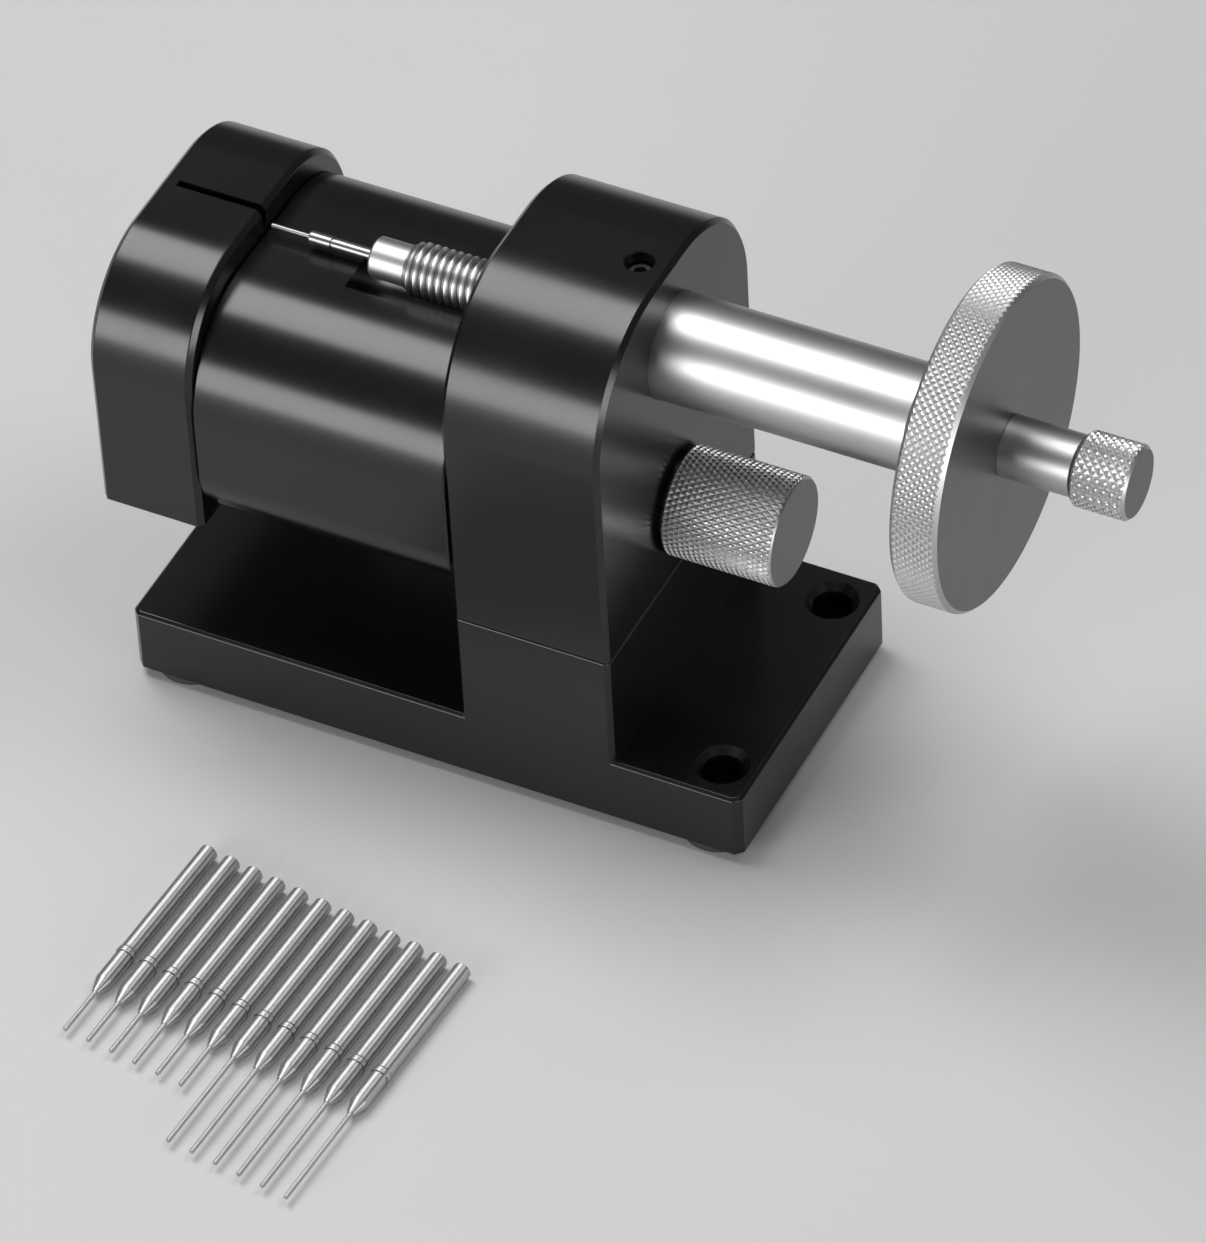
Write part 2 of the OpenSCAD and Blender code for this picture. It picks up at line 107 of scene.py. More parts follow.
def turn_of(name, description, degrees):
    """An angle, given in degrees."""
    return FloatProperty(name=name, description=description, default=math.radians(degrees), subtype="ANGLE")


def power(name, description, default):
    """The power of a light in watts."""
    return FloatProperty(name=name, description=description, default=default, unit="POWER")


def share(name, description, default):
    """A share between nothing and all."""
    return FloatProperty(name=name, description=description, default=default, min=0, max=1, subtype="FACTOR")


def colour(name, description, default):
    """A plain colour."""
    return FloatVectorProperty(
        name=name, description=description, default=default, size=3, min=0, max=1, subtype="COLOR"
    )


class BlockSizes(bpy.types.PropertyGroup):
    """Sizes of the four black pieces."""

    soften: length("Softened edge", "Rounding left on every machined edge", 0.00014)
    plate_height: length("Plate height", "Thickness of the base plate", 0.014)
    plate_corner: length("Plate corner", "Chamfer on the plate's upright corners", 0.0014)
    plate_rim: length("Plate rim", "Chamfer round the plate's top", 0.0006)
    bench_hole: length("Bench hole", "Radius of the holes for bench screws", 0.0036)
    bench_sink: length("Countersink", "Width of the countersink", 0.0013)
    bench_inset: length("Bench hole inset", "Distance of those holes from the plate's right end", 0.0067)
    side_inset: length("Side inset", "Distance of those holes from the plate's sides", 0.0075)
    bolt_pocket: length("Bolt pocket", "Radius of the pockets under the arch bolts", 0.0053)
    bolt_pocket_depth: length("Bolt pocket depth", "Depth of those pockets", 0.008)
    bolt_gap: length("Bolt gap", "Distance between the arch bolts", 0.04)
    foot_hole: length("Foot hole", "Radius of the hole in a foot", 0.0042)
    foot_edge: length("Foot edge", "Rounding of a foot's lower edges", 0.0004)
    post_edge: length("Upright edge", "Chamfer along the upright's edges", 0.0009)
    seam_edge: length("Seam edge", "Chamfer on each side of the seam", 0.00035)
    arch_shoulder: length("Arch shoulder", "Radius of the arch's shoulders", 0.0244)
    head_shoulder: length("Head shoulder", "Radius of the head's shoulders", 0.0203)
    head_edge: length("Head edge", "Chamfer round the head's faces", 0.001)
    slit_width: length("Slit width", "Width of the slit in the head", 0.0015)
    slit_length: length("Slit length", "Length of the slit in the head", 0.0168)
    slit_drop: length("Slit drop", "Depth of the slit below the spindle's axis", 0.00135)
    block_shoulder: length("Block shoulder", "Radius of the support block's shoulders", 0.02)
    block_foot: length("Block foot", "Radius of the support block's lower corners", 0.014)
    block_edge: length("Block edge", "Chamfer round the support block's end faces", 0.0004)
    trough_radius: length("Trough radius", "Radius of the trough under the spindle", 0.0075)
    trough_length: length("Trough length", "Length of the trough from the arch", 0.0298)
    screw_pocket: length("Screw pocket", "Radius of the head screws' pockets", 0.00455)
    screw_pocket_depth: length("Screw pocket depth", "Depth of those pockets", 0.0053)
    lock_hole: length("Lock hole", "Radius of the hole over the lock screw", 0.00253)
    lock_flare: length("Lock flare", "Width of the flare round that hole", 0.0003)
    spindle_hole: length("Spindle hole", "Radius of the arch's hole for the thread", 0.0053)


class TurnedSizes(bpy.types.PropertyGroup):
    """Sizes of the turned steel pieces."""

    soften: length("Softened edge", "Rounding left on every turned edge", 0.00008)
    pitch: length("Thread pitch", "Pitch of the spindle's thread", 0.0015)
    thread_depth: length("Thread depth", "Depth of the spindle's thread", 0.00085)
    nose_length: length("Nose length", "Length of the plain nose", 0.007)
    nose_radius: length("Nose radius", "Radius of the plain nose", 0.00375)
    nose_edge: length("Nose edge", "Chamfer on the front of the nose", 0.0005)
    pin_bore: length("Pin bore", "Radius of the bore for the driver pin", 0.00115)
    barrel_edge: length("Barrel edge", "Chamfer on the rear of the barrel", 0.0006)
    bore: length("Barrel bore", "Radius of the bore at the barrel's rear", 0.00505)
    thread_end: length("Thread end", "Chamfer on the thread's rear end", 0.0003)
    core_gap: length("Core gap", "How far the core lies under the thread's root", 0.0001)
    # Band under the thread's crest that is painted in the full painted highlight colour.
    bright_crest: length("Bright crest", "Height of the thread's brightest part", 0.00015)
    stud_length: length("Stud length", "Length of the stud behind the handwheel", 0.007)
    stud_radius: length("Stud radius", "Radius of that stud", 0.003)
    wheel_bore: length("Wheel bore", "Radius of the handwheel's bore", 0.00423)
    shaft_edge: length("Shaft edge", "Chamfer on the rear shaft", 0.0002)
    shaft_bore: length("Shaft bore", "Radius of the rear shaft's bore", 0.0016)
    shaft_mouth: length("Shaft mouth", "Radius of the bore at the shaft's rear", 0.0026)
    shaft_mouth_depth: length("Shaft mouth depth", "Depth of that wider bore", 0.005)
    knob_gap: length("Knob gap", "Gap between the rear shaft and the end knob", 0.0003)
    stub_radius: length("Stub radius", "Radius of the end knob's stub", 0.0025)
    clamp_bore: length("Clamp bore", "Radius of the clamp knob's bore", 0.00305)
    wheel_edge: length("Wheel edge", "Chamfer round the handwheel", 0.0008)
    knob_edge: length("End knob edge", "Chamfer on the end knob", 0.0007)
    clamp_edge: length("Clamp knob edge", "Chamfer on the clamp knob", 0.0005)
    knurl: length("Knurl", "Size of one diamond of the knurl", 0.0015)
    clamp_knurl: length("Clamp knob knurl", "Width of a diamond on the clamp knob", 0.00118)
    clamp_knurl_length: length("Clamp knob knurl length", "Length of a diamond on the clamp knob", 0.002)
    knurl_depth: length("Knurl depth", "Depth of the grooves between the diamonds", 0.0003)
    knurl_flat: share("Knurl flat", "Share of a diamond that stays flat on top", 0.25)


class ScrewSizes(bpy.types.PropertyGroup):
    """Sizes of the screws."""

    edge: length("Head chamfer", "Chamfer on a cap screw's head", 0.00035)
    soften: length("Softened edge", "Rounding left on a cap screw's edges", 0.00006)
    key: length("Key", "Width across flats of a cap screw's socket", 0.004)
    key_depth: length("Key depth", "Depth of a cap screw's socket", 0.0026)
    head_height: length("Screw head", "Height of a head screw's head", 0.005)
    shank: length("Screw shank", "Radius of a head screw's shank", 0.0025)
    bolt_head: length("Bolt head", "Height of an arch bolt's head", 0.006)
    bolt_shank: length("Bolt shank", "Radius of an arch bolt's shank", 0.003)
    lock_edge: length("Lock screw chamfer", "Chamfer on the lock screw", 0.0004)
    lock_soften: length("Lock screw rounding", "Rounding left on its edges", 0.00005)
    lock_key: length("Lock screw key", "Width across flats and depth of its socket", 0.0025)


class PinSizes(bpy.types.PropertyGroup):
    """Sizes of the driver pin and the spare pins."""

    driver_tip: length("Driver tip", "Length of the driver pin's tip", 0.00745)
    driver_tip_radius: length("Driver tip radius", "Radius of the driver pin's tip", 0.00043)
    collar: length("Collar", "Length of the collar behind the tip", 0.00435)
    collar_edge: length("Collar edge", "Chamfer on the front of the collar", 0.00035)
    driver_radius: length("Driver radius", "Radius of the driver pin's shank", 0.0011)
    fillet: length("Fillet", "Fillet where the tip leaves the collar", 0.0002)
    relief: length("Relief", "Width of the grooves beside collar and ring", 0.0003)
    relief_depth: length("Relief depth", "Depth of the grooves beside collar and ring", 0.0002)
    soften: length("Softened edge", "Flat left on every edge of a pin", 0.00005)
    turn: turn_of("Pin angle", "Angle of the spare pins to the front", 3.3)
    shank_radius: length("Shank radius", "Radius of a spare pin's shank", 0.00165)
    rear_edge: length("Rear edge", "Chamfer on a spare pin's rear end", 0.0002)
    ring_radius: length("Ring radius", "Radius of a spare pin's ring", 0.00182)
    shank: length("Shank", "Length from the rear end to the ring", 0.0277)
    ring: length("Ring", "Width of the ring", 0.001)
    front: length("Front", "Length from the ring to the cone", 0.0068)
    cone: length("Cone", "Length of the cone", 0.0029)
    cone_radius: length("Cone radius", "Radius of the cone's small end", 0.0007)
    tip_radius: length("Tip radius", "Radius of a spare pin's tip", 0.00043)


class Finishes(bpy.types.PropertyGroup):
    """Colours and gloss of the finishes."""

    black: colour("Black", "Colour of the black anodised pieces", (0.0028, 0.0028, 0.0032))
    black_gloss: share("Black roughness", "Roughness of the black pieces", 0.22)
    steel: colour("Steel", "Colour of bright steel", (0.53, 0.525, 0.52))
    # Turned: painted shade, a much darker steel that makes the end faces of the knurled pieces read as dark
    # reflection.
    turned: colour("Turned steel", "Colour of plain turned faces", (0.14, 0.139, 0.138))
    # Crest, groove and valley are painted highlight and painted shade: bright steel on the tops of knurls
    # and threads, darker steel deep in the thread and between the diamonds.
    crest: colour("Crest", "Colour of steel on the crests of knurls and threads", (0.80, 0.79, 0.78))
    groove: colour("Groove", "Colour of steel deep in a thread", (0.10, 0.098, 0.096))
    valley: colour("Knurl valley", "Colour of steel between a knurl's diamonds", (0.48, 0.475, 0.47))
    dark: colour("Dark steel", "Colour of blackened screws", (0.075, 0.074, 0.072))
    rubber: colour("Rubber", "Colour of the feet", (0.022, 0.022, 0.022))


class StageSizes(bpy.types.PropertyGroup):
    """Camera, lights, floor and background."""

    focal: FloatProperty(name="Focal length", description="Focal length in photo pixels", default=9453.6)
    distance: length("Camera distance", "Distance from the camera to its target", 1.67939)
    target: FloatVectorProperty(
        name="Target", description="Where the camera looks", default=(0.01684, 0.00408, 0.0109)
    )
    azimuth: turn_of("Azimuth", "Camera's turn round the object", 28.45)
    elevation: turn_of("Elevation", "Camera's height", 43.97)
    roll: turn_of("Roll", "Camera's turn about its own line", -3.36)
    floor: colour("Floor", "Colour of the floor and the background", (0.52, 0.52, 0.52))
    floor_size: length("Floor size", "Half the width of the floor", 3.0)
    key: power("Top light", "Power of the light above", 8.5)
    front: power("Front light", "Power of the light at the front", 6.9)
    side: power("Side light", "Power of the light at the right", 3)
    rear: power("Back light", "Power of the light above the back", 3.2)
    world: FloatProperty(
        name="Surroundings", description="Strength of the even light all round", default=0.17
    )


def sizes(name):
    """One of the add-on's groups of settings."""
    return getattr(bpy.context.scene, name)


def spun(outline, centre, axis=X, steps=ROUND_STEPS):
    """Solid of revolution from (station, radius) pairs, counted from centre along axis."""
    side = axis.orthogonal().normalized()
    bm = bmesh.new()
    verts = [bm.verts.new(centre + axis * station + side * radius) for station, radius in outline]
    edges = [bm.edges.new(pair) for pair in zip(verts, verts[1:])]
    bmesh.ops.spin(
        bm, geom=verts + edges, cent=centre, axis=axis, angle=FULL_TURN, steps=steps, use_merge=True
    )
    close_up(bm)
    return bm


def close_up(bm):
    """Joins poles and seams and points the faces outwards."""
    bmesh.ops.remove_doubles(bm, verts=bm.verts, dist=MERGE)
    bmesh.ops.recalc_face_normals(bm, faces=bm.faces)


def boxed(corner_low, corner_high):
    """Plain block between two corners, as a start for bevels and cuts."""
    bm = bmesh.new()
    size = corner_high - corner_low
    place = Matrix.Translation((corner_low + corner_high) / 2) @ Matrix.Diagonal((*size, 1))
    bmesh.ops.create_cube(bm, size=1, matrix=place)
    return bm


def bevel(bm, edges, width, segments):
    """Cuts or rounds the given edges."""
    bmesh.ops.bevel(
        bm,
        geom=edges,
        offset=width,
        segments=segments,
        profile=0.5,
        affect="EDGES",
        material=-1,
        clamp_overlap=True,
    )


def corners(bm, angle=BLOCK_SHARP):
    """Edges where the surface turns by more than the angle."""
    return [edge for edge in bm.edges if len(edge.link_faces) == 2 and edge.calc_face_angle() > angle]


def runs_along(edge, axis):
    """True for an edge that lies along the axis."""
    return abs((edge.verts[1].co - edge.verts[0].co).normalized().dot(axis)) > 0.999


def height_of(edge):
    """Height of an edge's middle."""
    return (edge.verts[0].co.z + edge.verts[1].co.z) / 2


def upper_edges(bm, floor):
    """Edges that run along X above the given height."""
    return [edge for edge in bm.edges if runs_along(edge, X) and height_of(edge) > floor + MERGE]


def hidden_object(bm):
    """Puts a mesh into a scratch object."""
    mesh = bpy.data.meshes.new("scratch")
    bm.to_mesh(mesh)
    bm.free()
    scratch = bpy.data.objects.new("scratch", mesh)
    bpy.context.scene.collection.objects.link(scratch)
    return scratch


def combine(bm, others, operation="DIFFERENCE"):
    """Cuts, joins or trims a closed mesh with other closed meshes and returns the result."""
    piece = hidden_object(bm)
    tools = [hidden_object(other) for other in others]
    for tool in tools:
        step = piece.modifiers.new("cut", "BOOLEAN")
        step.operation = operation
        step.object = tool
        step.solver = "EXACT"
    finished = piece.evaluated_get(bpy.context.evaluated_depsgraph_get())
    result = bmesh.new()
    result.from_mesh(finished.data)
    for scratch in [piece, *tools]:
        mesh = scratch.data
        bpy.data.objects.remove(scratch)
        bpy.data.meshes.remove(mesh)
    bmesh.ops.remove_doubles(result, verts=result.verts, dist=MERGE)
    bmesh.ops.dissolve_degenerate(result, edges=result.edges, dist=MERGE)
    return result


def joined(bm, *others):
    """Adds further closed shells to a mesh."""
    for other in others:
        mesh = bpy.data.meshes.new("scratch")
        other.to_mesh(mesh)
        other.free()
        bm.from_mesh(mesh)
        bpy.data.meshes.remove(mesh)
    return bm


def add_piece(name, bm, material, body, nodes, sharp=TURNED_SHARP):
    """Turns a mesh into a finished piece that stands for CAD nodes and rides on a body."""
    close_up(bm)
    mesh = bpy.data.meshes.new(name)
    bm.to_mesh(mesh)
    bm.free()
    mesh.shade_smooth()
    mesh.set_sharp_from_angle(angle=sharp)
    mesh.materials.append(material)
    piece = bpy.data.objects.new(name, mesh)
    bpy.context.scene.collection.objects.link(piece)
    shading = piece.modifiers.new("even shading", "WEIGHTED_NORMAL")
    shading.keep_sharp = True
    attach(piece, body)
    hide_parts(*nodes)
    return piece


def add_block(name, bm, node):
    """Finishes a piece as one of the black blocks."""
    return add_piece(name, bm, black_anodised(), "frame", [node], BLOCK_SHARP)


def dress(node, material):
    """Gives a CAD node its finish."""
    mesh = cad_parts[node].data
    mesh.materials.clear()
    mesh.materials.append(material)


class Shading:
    """A material under construction: its nodes, wired by short calls."""

    def __init__(self, name):
        self.material = bpy.data.materials.new(name)
        self.material.use_nodes = True
        self.tree = self.material.node_tree
        self.shader = self.tree.nodes["Principled BSDF"]
        self.place = self.add("ShaderNodeTexCoord").outputs["Object"]

    def add(self, kind, **settings):
        """Adds a node and sets its plain properties."""
        node = self.tree.nodes.new(kind)
        for key, value in settings.items():
            setattr(node, key, value)
        return node

    def wire(self, source, target):
        """Links an output to an input."""
        self.tree.links.new(source, target)

    def moved(self, scale=(1, 1, 1), shift=(0, 0, 0)):
        """The object's place, shifted and then scaled."""
        centre = self.add("ShaderNodeVectorMath", operation="SUBTRACT")
        self.wire(self.place, centre.inputs[0])
        centre.inputs[1].default_value = shift
        stretch = self.add("ShaderNodeVectorMath", operation="MULTIPLY")
        self.wire(centre.outputs[0], stretch.inputs[0])
        stretch.inputs[1].default_value = scale
        return stretch.outputs[0]

    def radius(self, centre):
        """Distance from an axis along X through centre."""
        measure = self.add("ShaderNodeVectorMath", operation="LENGTH")
        self.wire(self.moved((0, 1, 1), centre), measure.inputs[0])
        return measure.outputs["Value"]

    def noise(self, vector, scale, detail=4.0, rough=0.5):
        """Noise on a vector."""
        node = self.add("ShaderNodeTexNoise")
        self.wire(vector, node.inputs["Vector"])
        node.inputs["Scale"].default_value = scale
        node.inputs["Detail"].default_value = detail
        node.inputs["Roughness"].default_value = rough
        return node.outputs["Fac"]

    def noise_along(self, value, scale, detail=3.0):
        """Noise on a single value, which gives lines or rings."""
        node = self.add("ShaderNodeTexNoise", noise_dimensions="1D")
        self.wire(value, node.inputs["W"])
        node.inputs["Scale"].default_value = scale
        node.inputs["Detail"].default_value = detail
        return node.outputs["Fac"]

    def spread(self, value, start, end, to_start=0.0, to_end=1.0):
        """Maps a range of values to another."""
        node = self.add("ShaderNodeMapRange")
        self.wire(value, node.inputs["Value"])
        node.inputs["From Min"].default_value = start
        node.inputs["From Max"].default_value = end
        node.inputs["To Min"].default_value = to_start
        node.inputs["To Max"].default_value = to_end
        return node.outputs["Result"]

    def blend(self, share_of, first, second):
        """Mixes two colours by a value."""
        node = self.add("ShaderNodeMix", data_type="RGBA")
        self.wire(share_of, node.inputs["Factor"])
        node.inputs["A"].default_value = (*first, 1)
        node.inputs["B"].default_value = (*second, 1)
        return node.outputs["Result"]

    def mixed(self, share_of, first, second):
        """Mixes two values by a third."""
        node = self.add("ShaderNodeMix", data_type="FLOAT")
        for name, value in (("Factor", share_of), ("A", first), ("B", second)):
            if isinstance(value, float):
                node.inputs[name].default_value = value
            else:
                self.wire(value, node.inputs[name])
        return node.outputs["Result"]

    def bump(self, value, strength, depth):
        """Fine relief from a value."""
        node = self.add("ShaderNodeBump")
        node.inputs["Strength"].default_value = strength
        node.inputs["Distance"].default_value = depth
        self.wire(value, node.inputs["Height"])
        self.wire(node.outputs["Normal"], self.shader.inputs["Normal"])

    def set(self, **values):
        """Sets plain shader values; names use _ for spaces."""
        for key, value in values.items():
            self.shader.inputs[key.replace("_", " ")].default_value = value


def made_once(builder):
    """Keeps one material per kind and asks for it again by name."""

    def give(*extra):
        name = "-".join([builder.__name__, *(str(value)[:7] for value in extra)])
        return bpy.data.materials.get(name) or builder(name, *extra)

    return give


@made_once
def black_anodised(name):
    """Gloss black with a faint cloudiness and very fine haze in its gloss."""
    look = sizes("link_finishes")
    shading = Shading(name)
    cloud = shading.noise(shading.moved(), 55, 3)
    fine = shading.noise(shading.moved(), 900, 5, 0.6)
    lifted = tuple(value * 1.7 for value in look.black)
    shading.wire(shading.blend(cloud, look.black, lifted), shading.shader.inputs["Base Color"])
    haze = shading.mixed(0.35, cloud, fine)
    rough = shading.spread(haze, 0.3, 0.7, look.black_gloss - 0.02, look.black_gloss + 0.04)
    shading.wire(rough, shading.shader.inputs["Roughness"])
    shading.bump(fine, 0.08, 0.00001)
    shading.set(Metallic=0.0, IOR=1.5)
    return shading.material


@made_once
def turned_steel(name, axis_height):
    """Turned steel: fine rings along the bar and round its faces. Its colour is painted far darker than the
    bright steel: painted shade for the dark reflection on the end faces of the knurled pieces.
    """
    look = sizes("link_finishes")
    shading = Shading(name)
    centre = (0, 0, axis_height)
    parts = shading.add("ShaderNodeSeparateXYZ")
    shading.wire(shading.place, parts.inputs[0])
    lines = shading.noise_along(parts.outputs["X"], 5200)
    rings = shading.noise_along(shading.radius(centre), 4200)
    marks = shading.mixed(0.5, lines, rings)
    cloud = shading.noise(shading.moved(), 120, 3)
    dull = tuple(value * 0.86 for value in look.turned)
    shading.wire(shading.blend(cloud, dull, look.turned), shading.shader.inputs["Base Color"])
    rough = shading.spread(shading.mixed(0.5, marks, cloud), 0.3, 0.7, 0.3, 0.4)
    shading.wire(rough, shading.shader.inputs["Roughness"])
    shading.bump(marks, 0.2, 0.00001)
    shading.set(Metallic=1.0)
    return shading.material


@made_once
def polished_steel(name, axis_height):
    """Polished steel with hair-fine turning lines."""
    look = sizes("link_finishes")
    shading = Shading(name)
    parts = shading.add("ShaderNodeSeparateXYZ")
    shading.wire(shading.place, parts.inputs[0])
    lines = shading.noise_along(parts.outputs["X"], 6500)
    rings = shading.noise_along(shading.radius((0, 0, axis_height)), 5000)
    marks = shading.mixed(0.5, lines, rings)
    cloud = shading.noise(shading.moved(), 70, 3)
    dull = tuple(value * 0.9 for value in look.steel)
    shading.wire(shading.blend(cloud, dull, look.steel), shading.shader.inputs["Base Color"])
    rough = shading.spread(shading.mixed(0.4, marks, cloud), 0.3, 0.7, 0.38, 0.46)
    shading.wire(rough, shading.shader.inputs["Roughness"])
    shading.bump(marks, 0.12, 0.00001)
    shading.set(Metallic=1.0)
    return shading.material


@made_once
def grooved_steel(name, axis_height, bottom, top, shade_colour_name):
    """Steel with painted shade in the grooves of its knurl or thread and a painted highlight on its crests.
    """
    look = sizes("link_finishes")
    deep = getattr(look, shade_colour_name)
    shading = Shading(name)
    # Painted shade and highlight: the colour runs from the dark low colour at the root to the bright crest
    # colour at the top, by radius alone.
    depth = shading.spread(shading.radius((0, 0, axis_height)), bottom, top)
    grime = shading.noise(shading.moved(), 900, 4, 0.6)
    # This mask mixes that painted shade and highlight with random grime; it sets both the colour and the
    # roughness.
    worn = shading.mixed(0.22, depth, grime)
    shading.wire(shading.blend(worn, deep, look.crest), shading.shader.inputs["Base Color"])
    rough = shading.spread(worn, 0.1, 0.9, 0.46, 0.32)
    shading.wire(rough, shading.shader.inputs["Roughness"])
    shading.bump(grime, 0.25, 0.00002)
    shading.set(Metallic=1.0)
    return shading.material


@made_once
def ground_steel(name, direction):
    """Ground tool steel whose hair-fine rings run round a pin and draw its glints out along it."""
    look = sizes("link_finishes")
    shading = Shading(name)
    parts = shading.add("ShaderNodeSeparateXYZ")
    shading.wire(shading.place, parts.inputs[0])
    fine = shading.noise_along(parts.outputs[direction], 7000)
    cloud = shading.noise(shading.moved(), 240, 3)
    dull = tuple(value * 0.82 for value in look.steel)
    shading.wire(shading.blend(cloud, dull, look.steel), shading.shader.inputs["Base Color"])
    rough = shading.spread(shading.mixed(0.5, fine, cloud), 0.3, 0.7, 0.42, 0.48)
    shading.wire(rough, shading.shader.inputs["Roughness"])
    shading.bump(fine, 0.03, 0.00001)
    along = shading.add("ShaderNodeCombineXYZ")
    along.inputs[direction].default_value = 1
    shading.wire(along.outputs[0], shading.shader.inputs["Tangent"])
    shading.set(Metallic=1.0, Anisotropic=0.85)
    return shading.material


@made_once
def black_oxide(name):
    """Blackened screws, lighter where the key has worn them."""
    look = sizes("link_finishes")
    shading = Shading(name)
    wear = shading.noise(shading.moved(), 700, 5, 0.65)
    worn = tuple(value * 2.4 for value in look.dark)
    tint = shading.blend(shading.spread(wear, 0.45, 0.75), look.dark, worn)
    shading.wire(tint, shading.shader.inputs["Base Color"])
    shading.wire(shading.spread(wear, 0.3, 0.7, 0.45, 0.3), shading.shader.inputs["Roughness"])
    shading.bump(wear, 0.2, 0.00002)
    shading.set(Metallic=0.85)
    return shading.material


@made_once
def foot_rubber(name):
    """Matte black rubber."""
    look = sizes("link_finishes")
    shading = Shading(name)
    grain = shading.noise(shading.moved(), 1500, 5, 0.65)
    dusty = tuple(value * 1.8 for value in look.rubber)
    shading.wire(shading.blend(grain, look.rubber, dusty), shading.shader.inputs["Base Color"])
    shading.wire(shading.spread(grain, 0.3, 0.7, 0.62, 0.85), shading.shader.inputs["Roughness"])
    shading.bump(grain, 0.5, 0.00004)
    shading.set(Metallic=0.0)
    return shading.material


def hole(centre, axis, start, end, radius, flare=0.0):
    """Cutter for a round hole whose mouth at end may be flared at 45 degrees."""
    reach = end + OVERRUN
    mouth = radius + flare + OVERRUN if flare else radius
    outline = [(start, 0), (start, radius), (end - flare, radius), (reach, mouth), (reach, 0)]
    return spun(outline, centre, axis, 64)


class LINK_OT_base_plate(bpy.types.Operator):
    """Build the base plate with its riser, bench holes and pockets"""

    bl_idname = "link_remover.base_plate"
    bl_label = "Base plate"

    def execute(self, context):
        size = sizes("link_blocks")
        lo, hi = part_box("base_plate")
        post_lo, post_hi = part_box("arch_housing")
        top = Vector((hi.x, hi.y, size.plate_height))
        plate = boxed(lo, top)
        bevel(plate, [e for e in plate.edges if runs_along(e, Z)], size.plate_corner, 1)
        ends = [e for e in corners(plate) if not runs_along(e, Z)]
        bevel(plate, ends, size.plate_rim, 1)
        riser = boxed(Vector((post_lo.x, lo.y, lo.z + size.plate_rim)), Vector((post_hi.x, hi.y, hi.z)))
        bevel(riser, [e for e in riser.edges if runs_along(e, Z)], size.post_edge, 1)
        bevel(riser, [e for e in corners(riser) if abs(height_of(e) - hi.z) < MERGE], size.seam_edge, 1)
        body = combine(plate, [riser], "UNION")
        bmesh.ops.dissolve_limit(body, angle_limit=math.radians(0.5), verts=body.verts, edges=body.edges)
        bevel(body, corners(body), size.soften, 2)
        cutters = []
        for node in FOOT_NODES:
            foot = middle(node)
            foot.z = 0
            cutters.append(hole(foot, -Z, -high(node).z, OVERRUN, across(node)))
        bolt = middle("arch_bolts").x
        bench = hi.x - size.bench_inset
        for side in (-1, 1):
            pocket = Vector((bolt, side * size.bolt_gap / 2, 0))
            cutters.append(hole(pocket, -Z, -size.bolt_pocket_depth, 0, size.bolt_pocket, size.soften))
            place = Vector((bench, side * (hi.y - size.side_inset), 0))
            cutters.append(hole(place, Z, -OVERRUN, top.z, size.bench_hole, size.bench_sink))
        body = combine(body, cutters)
        add_block("base_plate_finish", body, "base_plate")
        return {"FINISHED"}


class LINK_OT_arch(bpy.types.Operator):
    """Build the arch with its round shoulders and the hole over the lock screw"""

    bl_idname = "link_remover.arch"
    bl_label = "Arch"

    def execute(self, context):
        size = sizes("link_blocks")
        lo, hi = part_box("arch_housing")
        body = boxed(lo, hi)
        bevel(body, upper_edges(body, lo.z), size.arch_shoulder, SHOULDER_STEPS)
        bevel(body, [e for e in corners(body) if height_of(e) < lo.z + MERGE], size.seam_edge, 1)
        bevel(body, corners(body, BLOCK_EDGE), size.post_edge, 1)
        bevel(body, corners(body), size.soften, 2)
        lock = middle("barrel_screw")
        barrel = low("barrel").x
        cutters = [
            hole(Vector((lock.x, lock.y, 0)), Z, SPINDLE_AXIS.z, hi.z, size.lock_hole, size.lock_flare),
            hole(SPINDLE_AXIS, X, barrel, hi.x, across("barrel"), size.soften),
            hole(SPINDLE_AXIS, -X, -barrel - OVERRUN, -lo.x, size.spindle_hole, size.soften),
        ]
        body = combine(body, cutters)
        add_block("arch_finish", body, "arch_housing")
        return {"FINISHED"}


class LINK_OT_support_block(bpy.types.Operator):
    """Build the support block with its flat bed, round corners and trough"""

    bl_idname = "link_remover.support_block"
    bl_label = "Support block"

    def execute(self, context):
        size = sizes("link_blocks")
        lo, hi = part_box("support_block")
        body = boxed(lo, hi)
        half = (lo.z + hi.z) / 2
        for upper, radius in ((True, size.block_shoulder), (False, size.block_foot)):
            pair = [e for e in corners(body) if runs_along(e, X) and (height_of(e) > half) == upper]
            bevel(body, pair, radius, SHOULDER_STEPS)
        bevel(body, corners(body, BLOCK_EDGE), size.block_edge, 1)
        bevel(body, corners(body), size.soften / 2, 2)
        start = hi.x - size.trough_length
        end = hi.x + OVERRUN
        radius = size.trough_radius
        trough = spun([(start, 0), (start, radius), (end, radius), (end, 0)], SPINDLE_AXIS)
        body = combine(body, [trough])
        add_block("block_finish", body, "support_block")
        return {"FINISHED"}


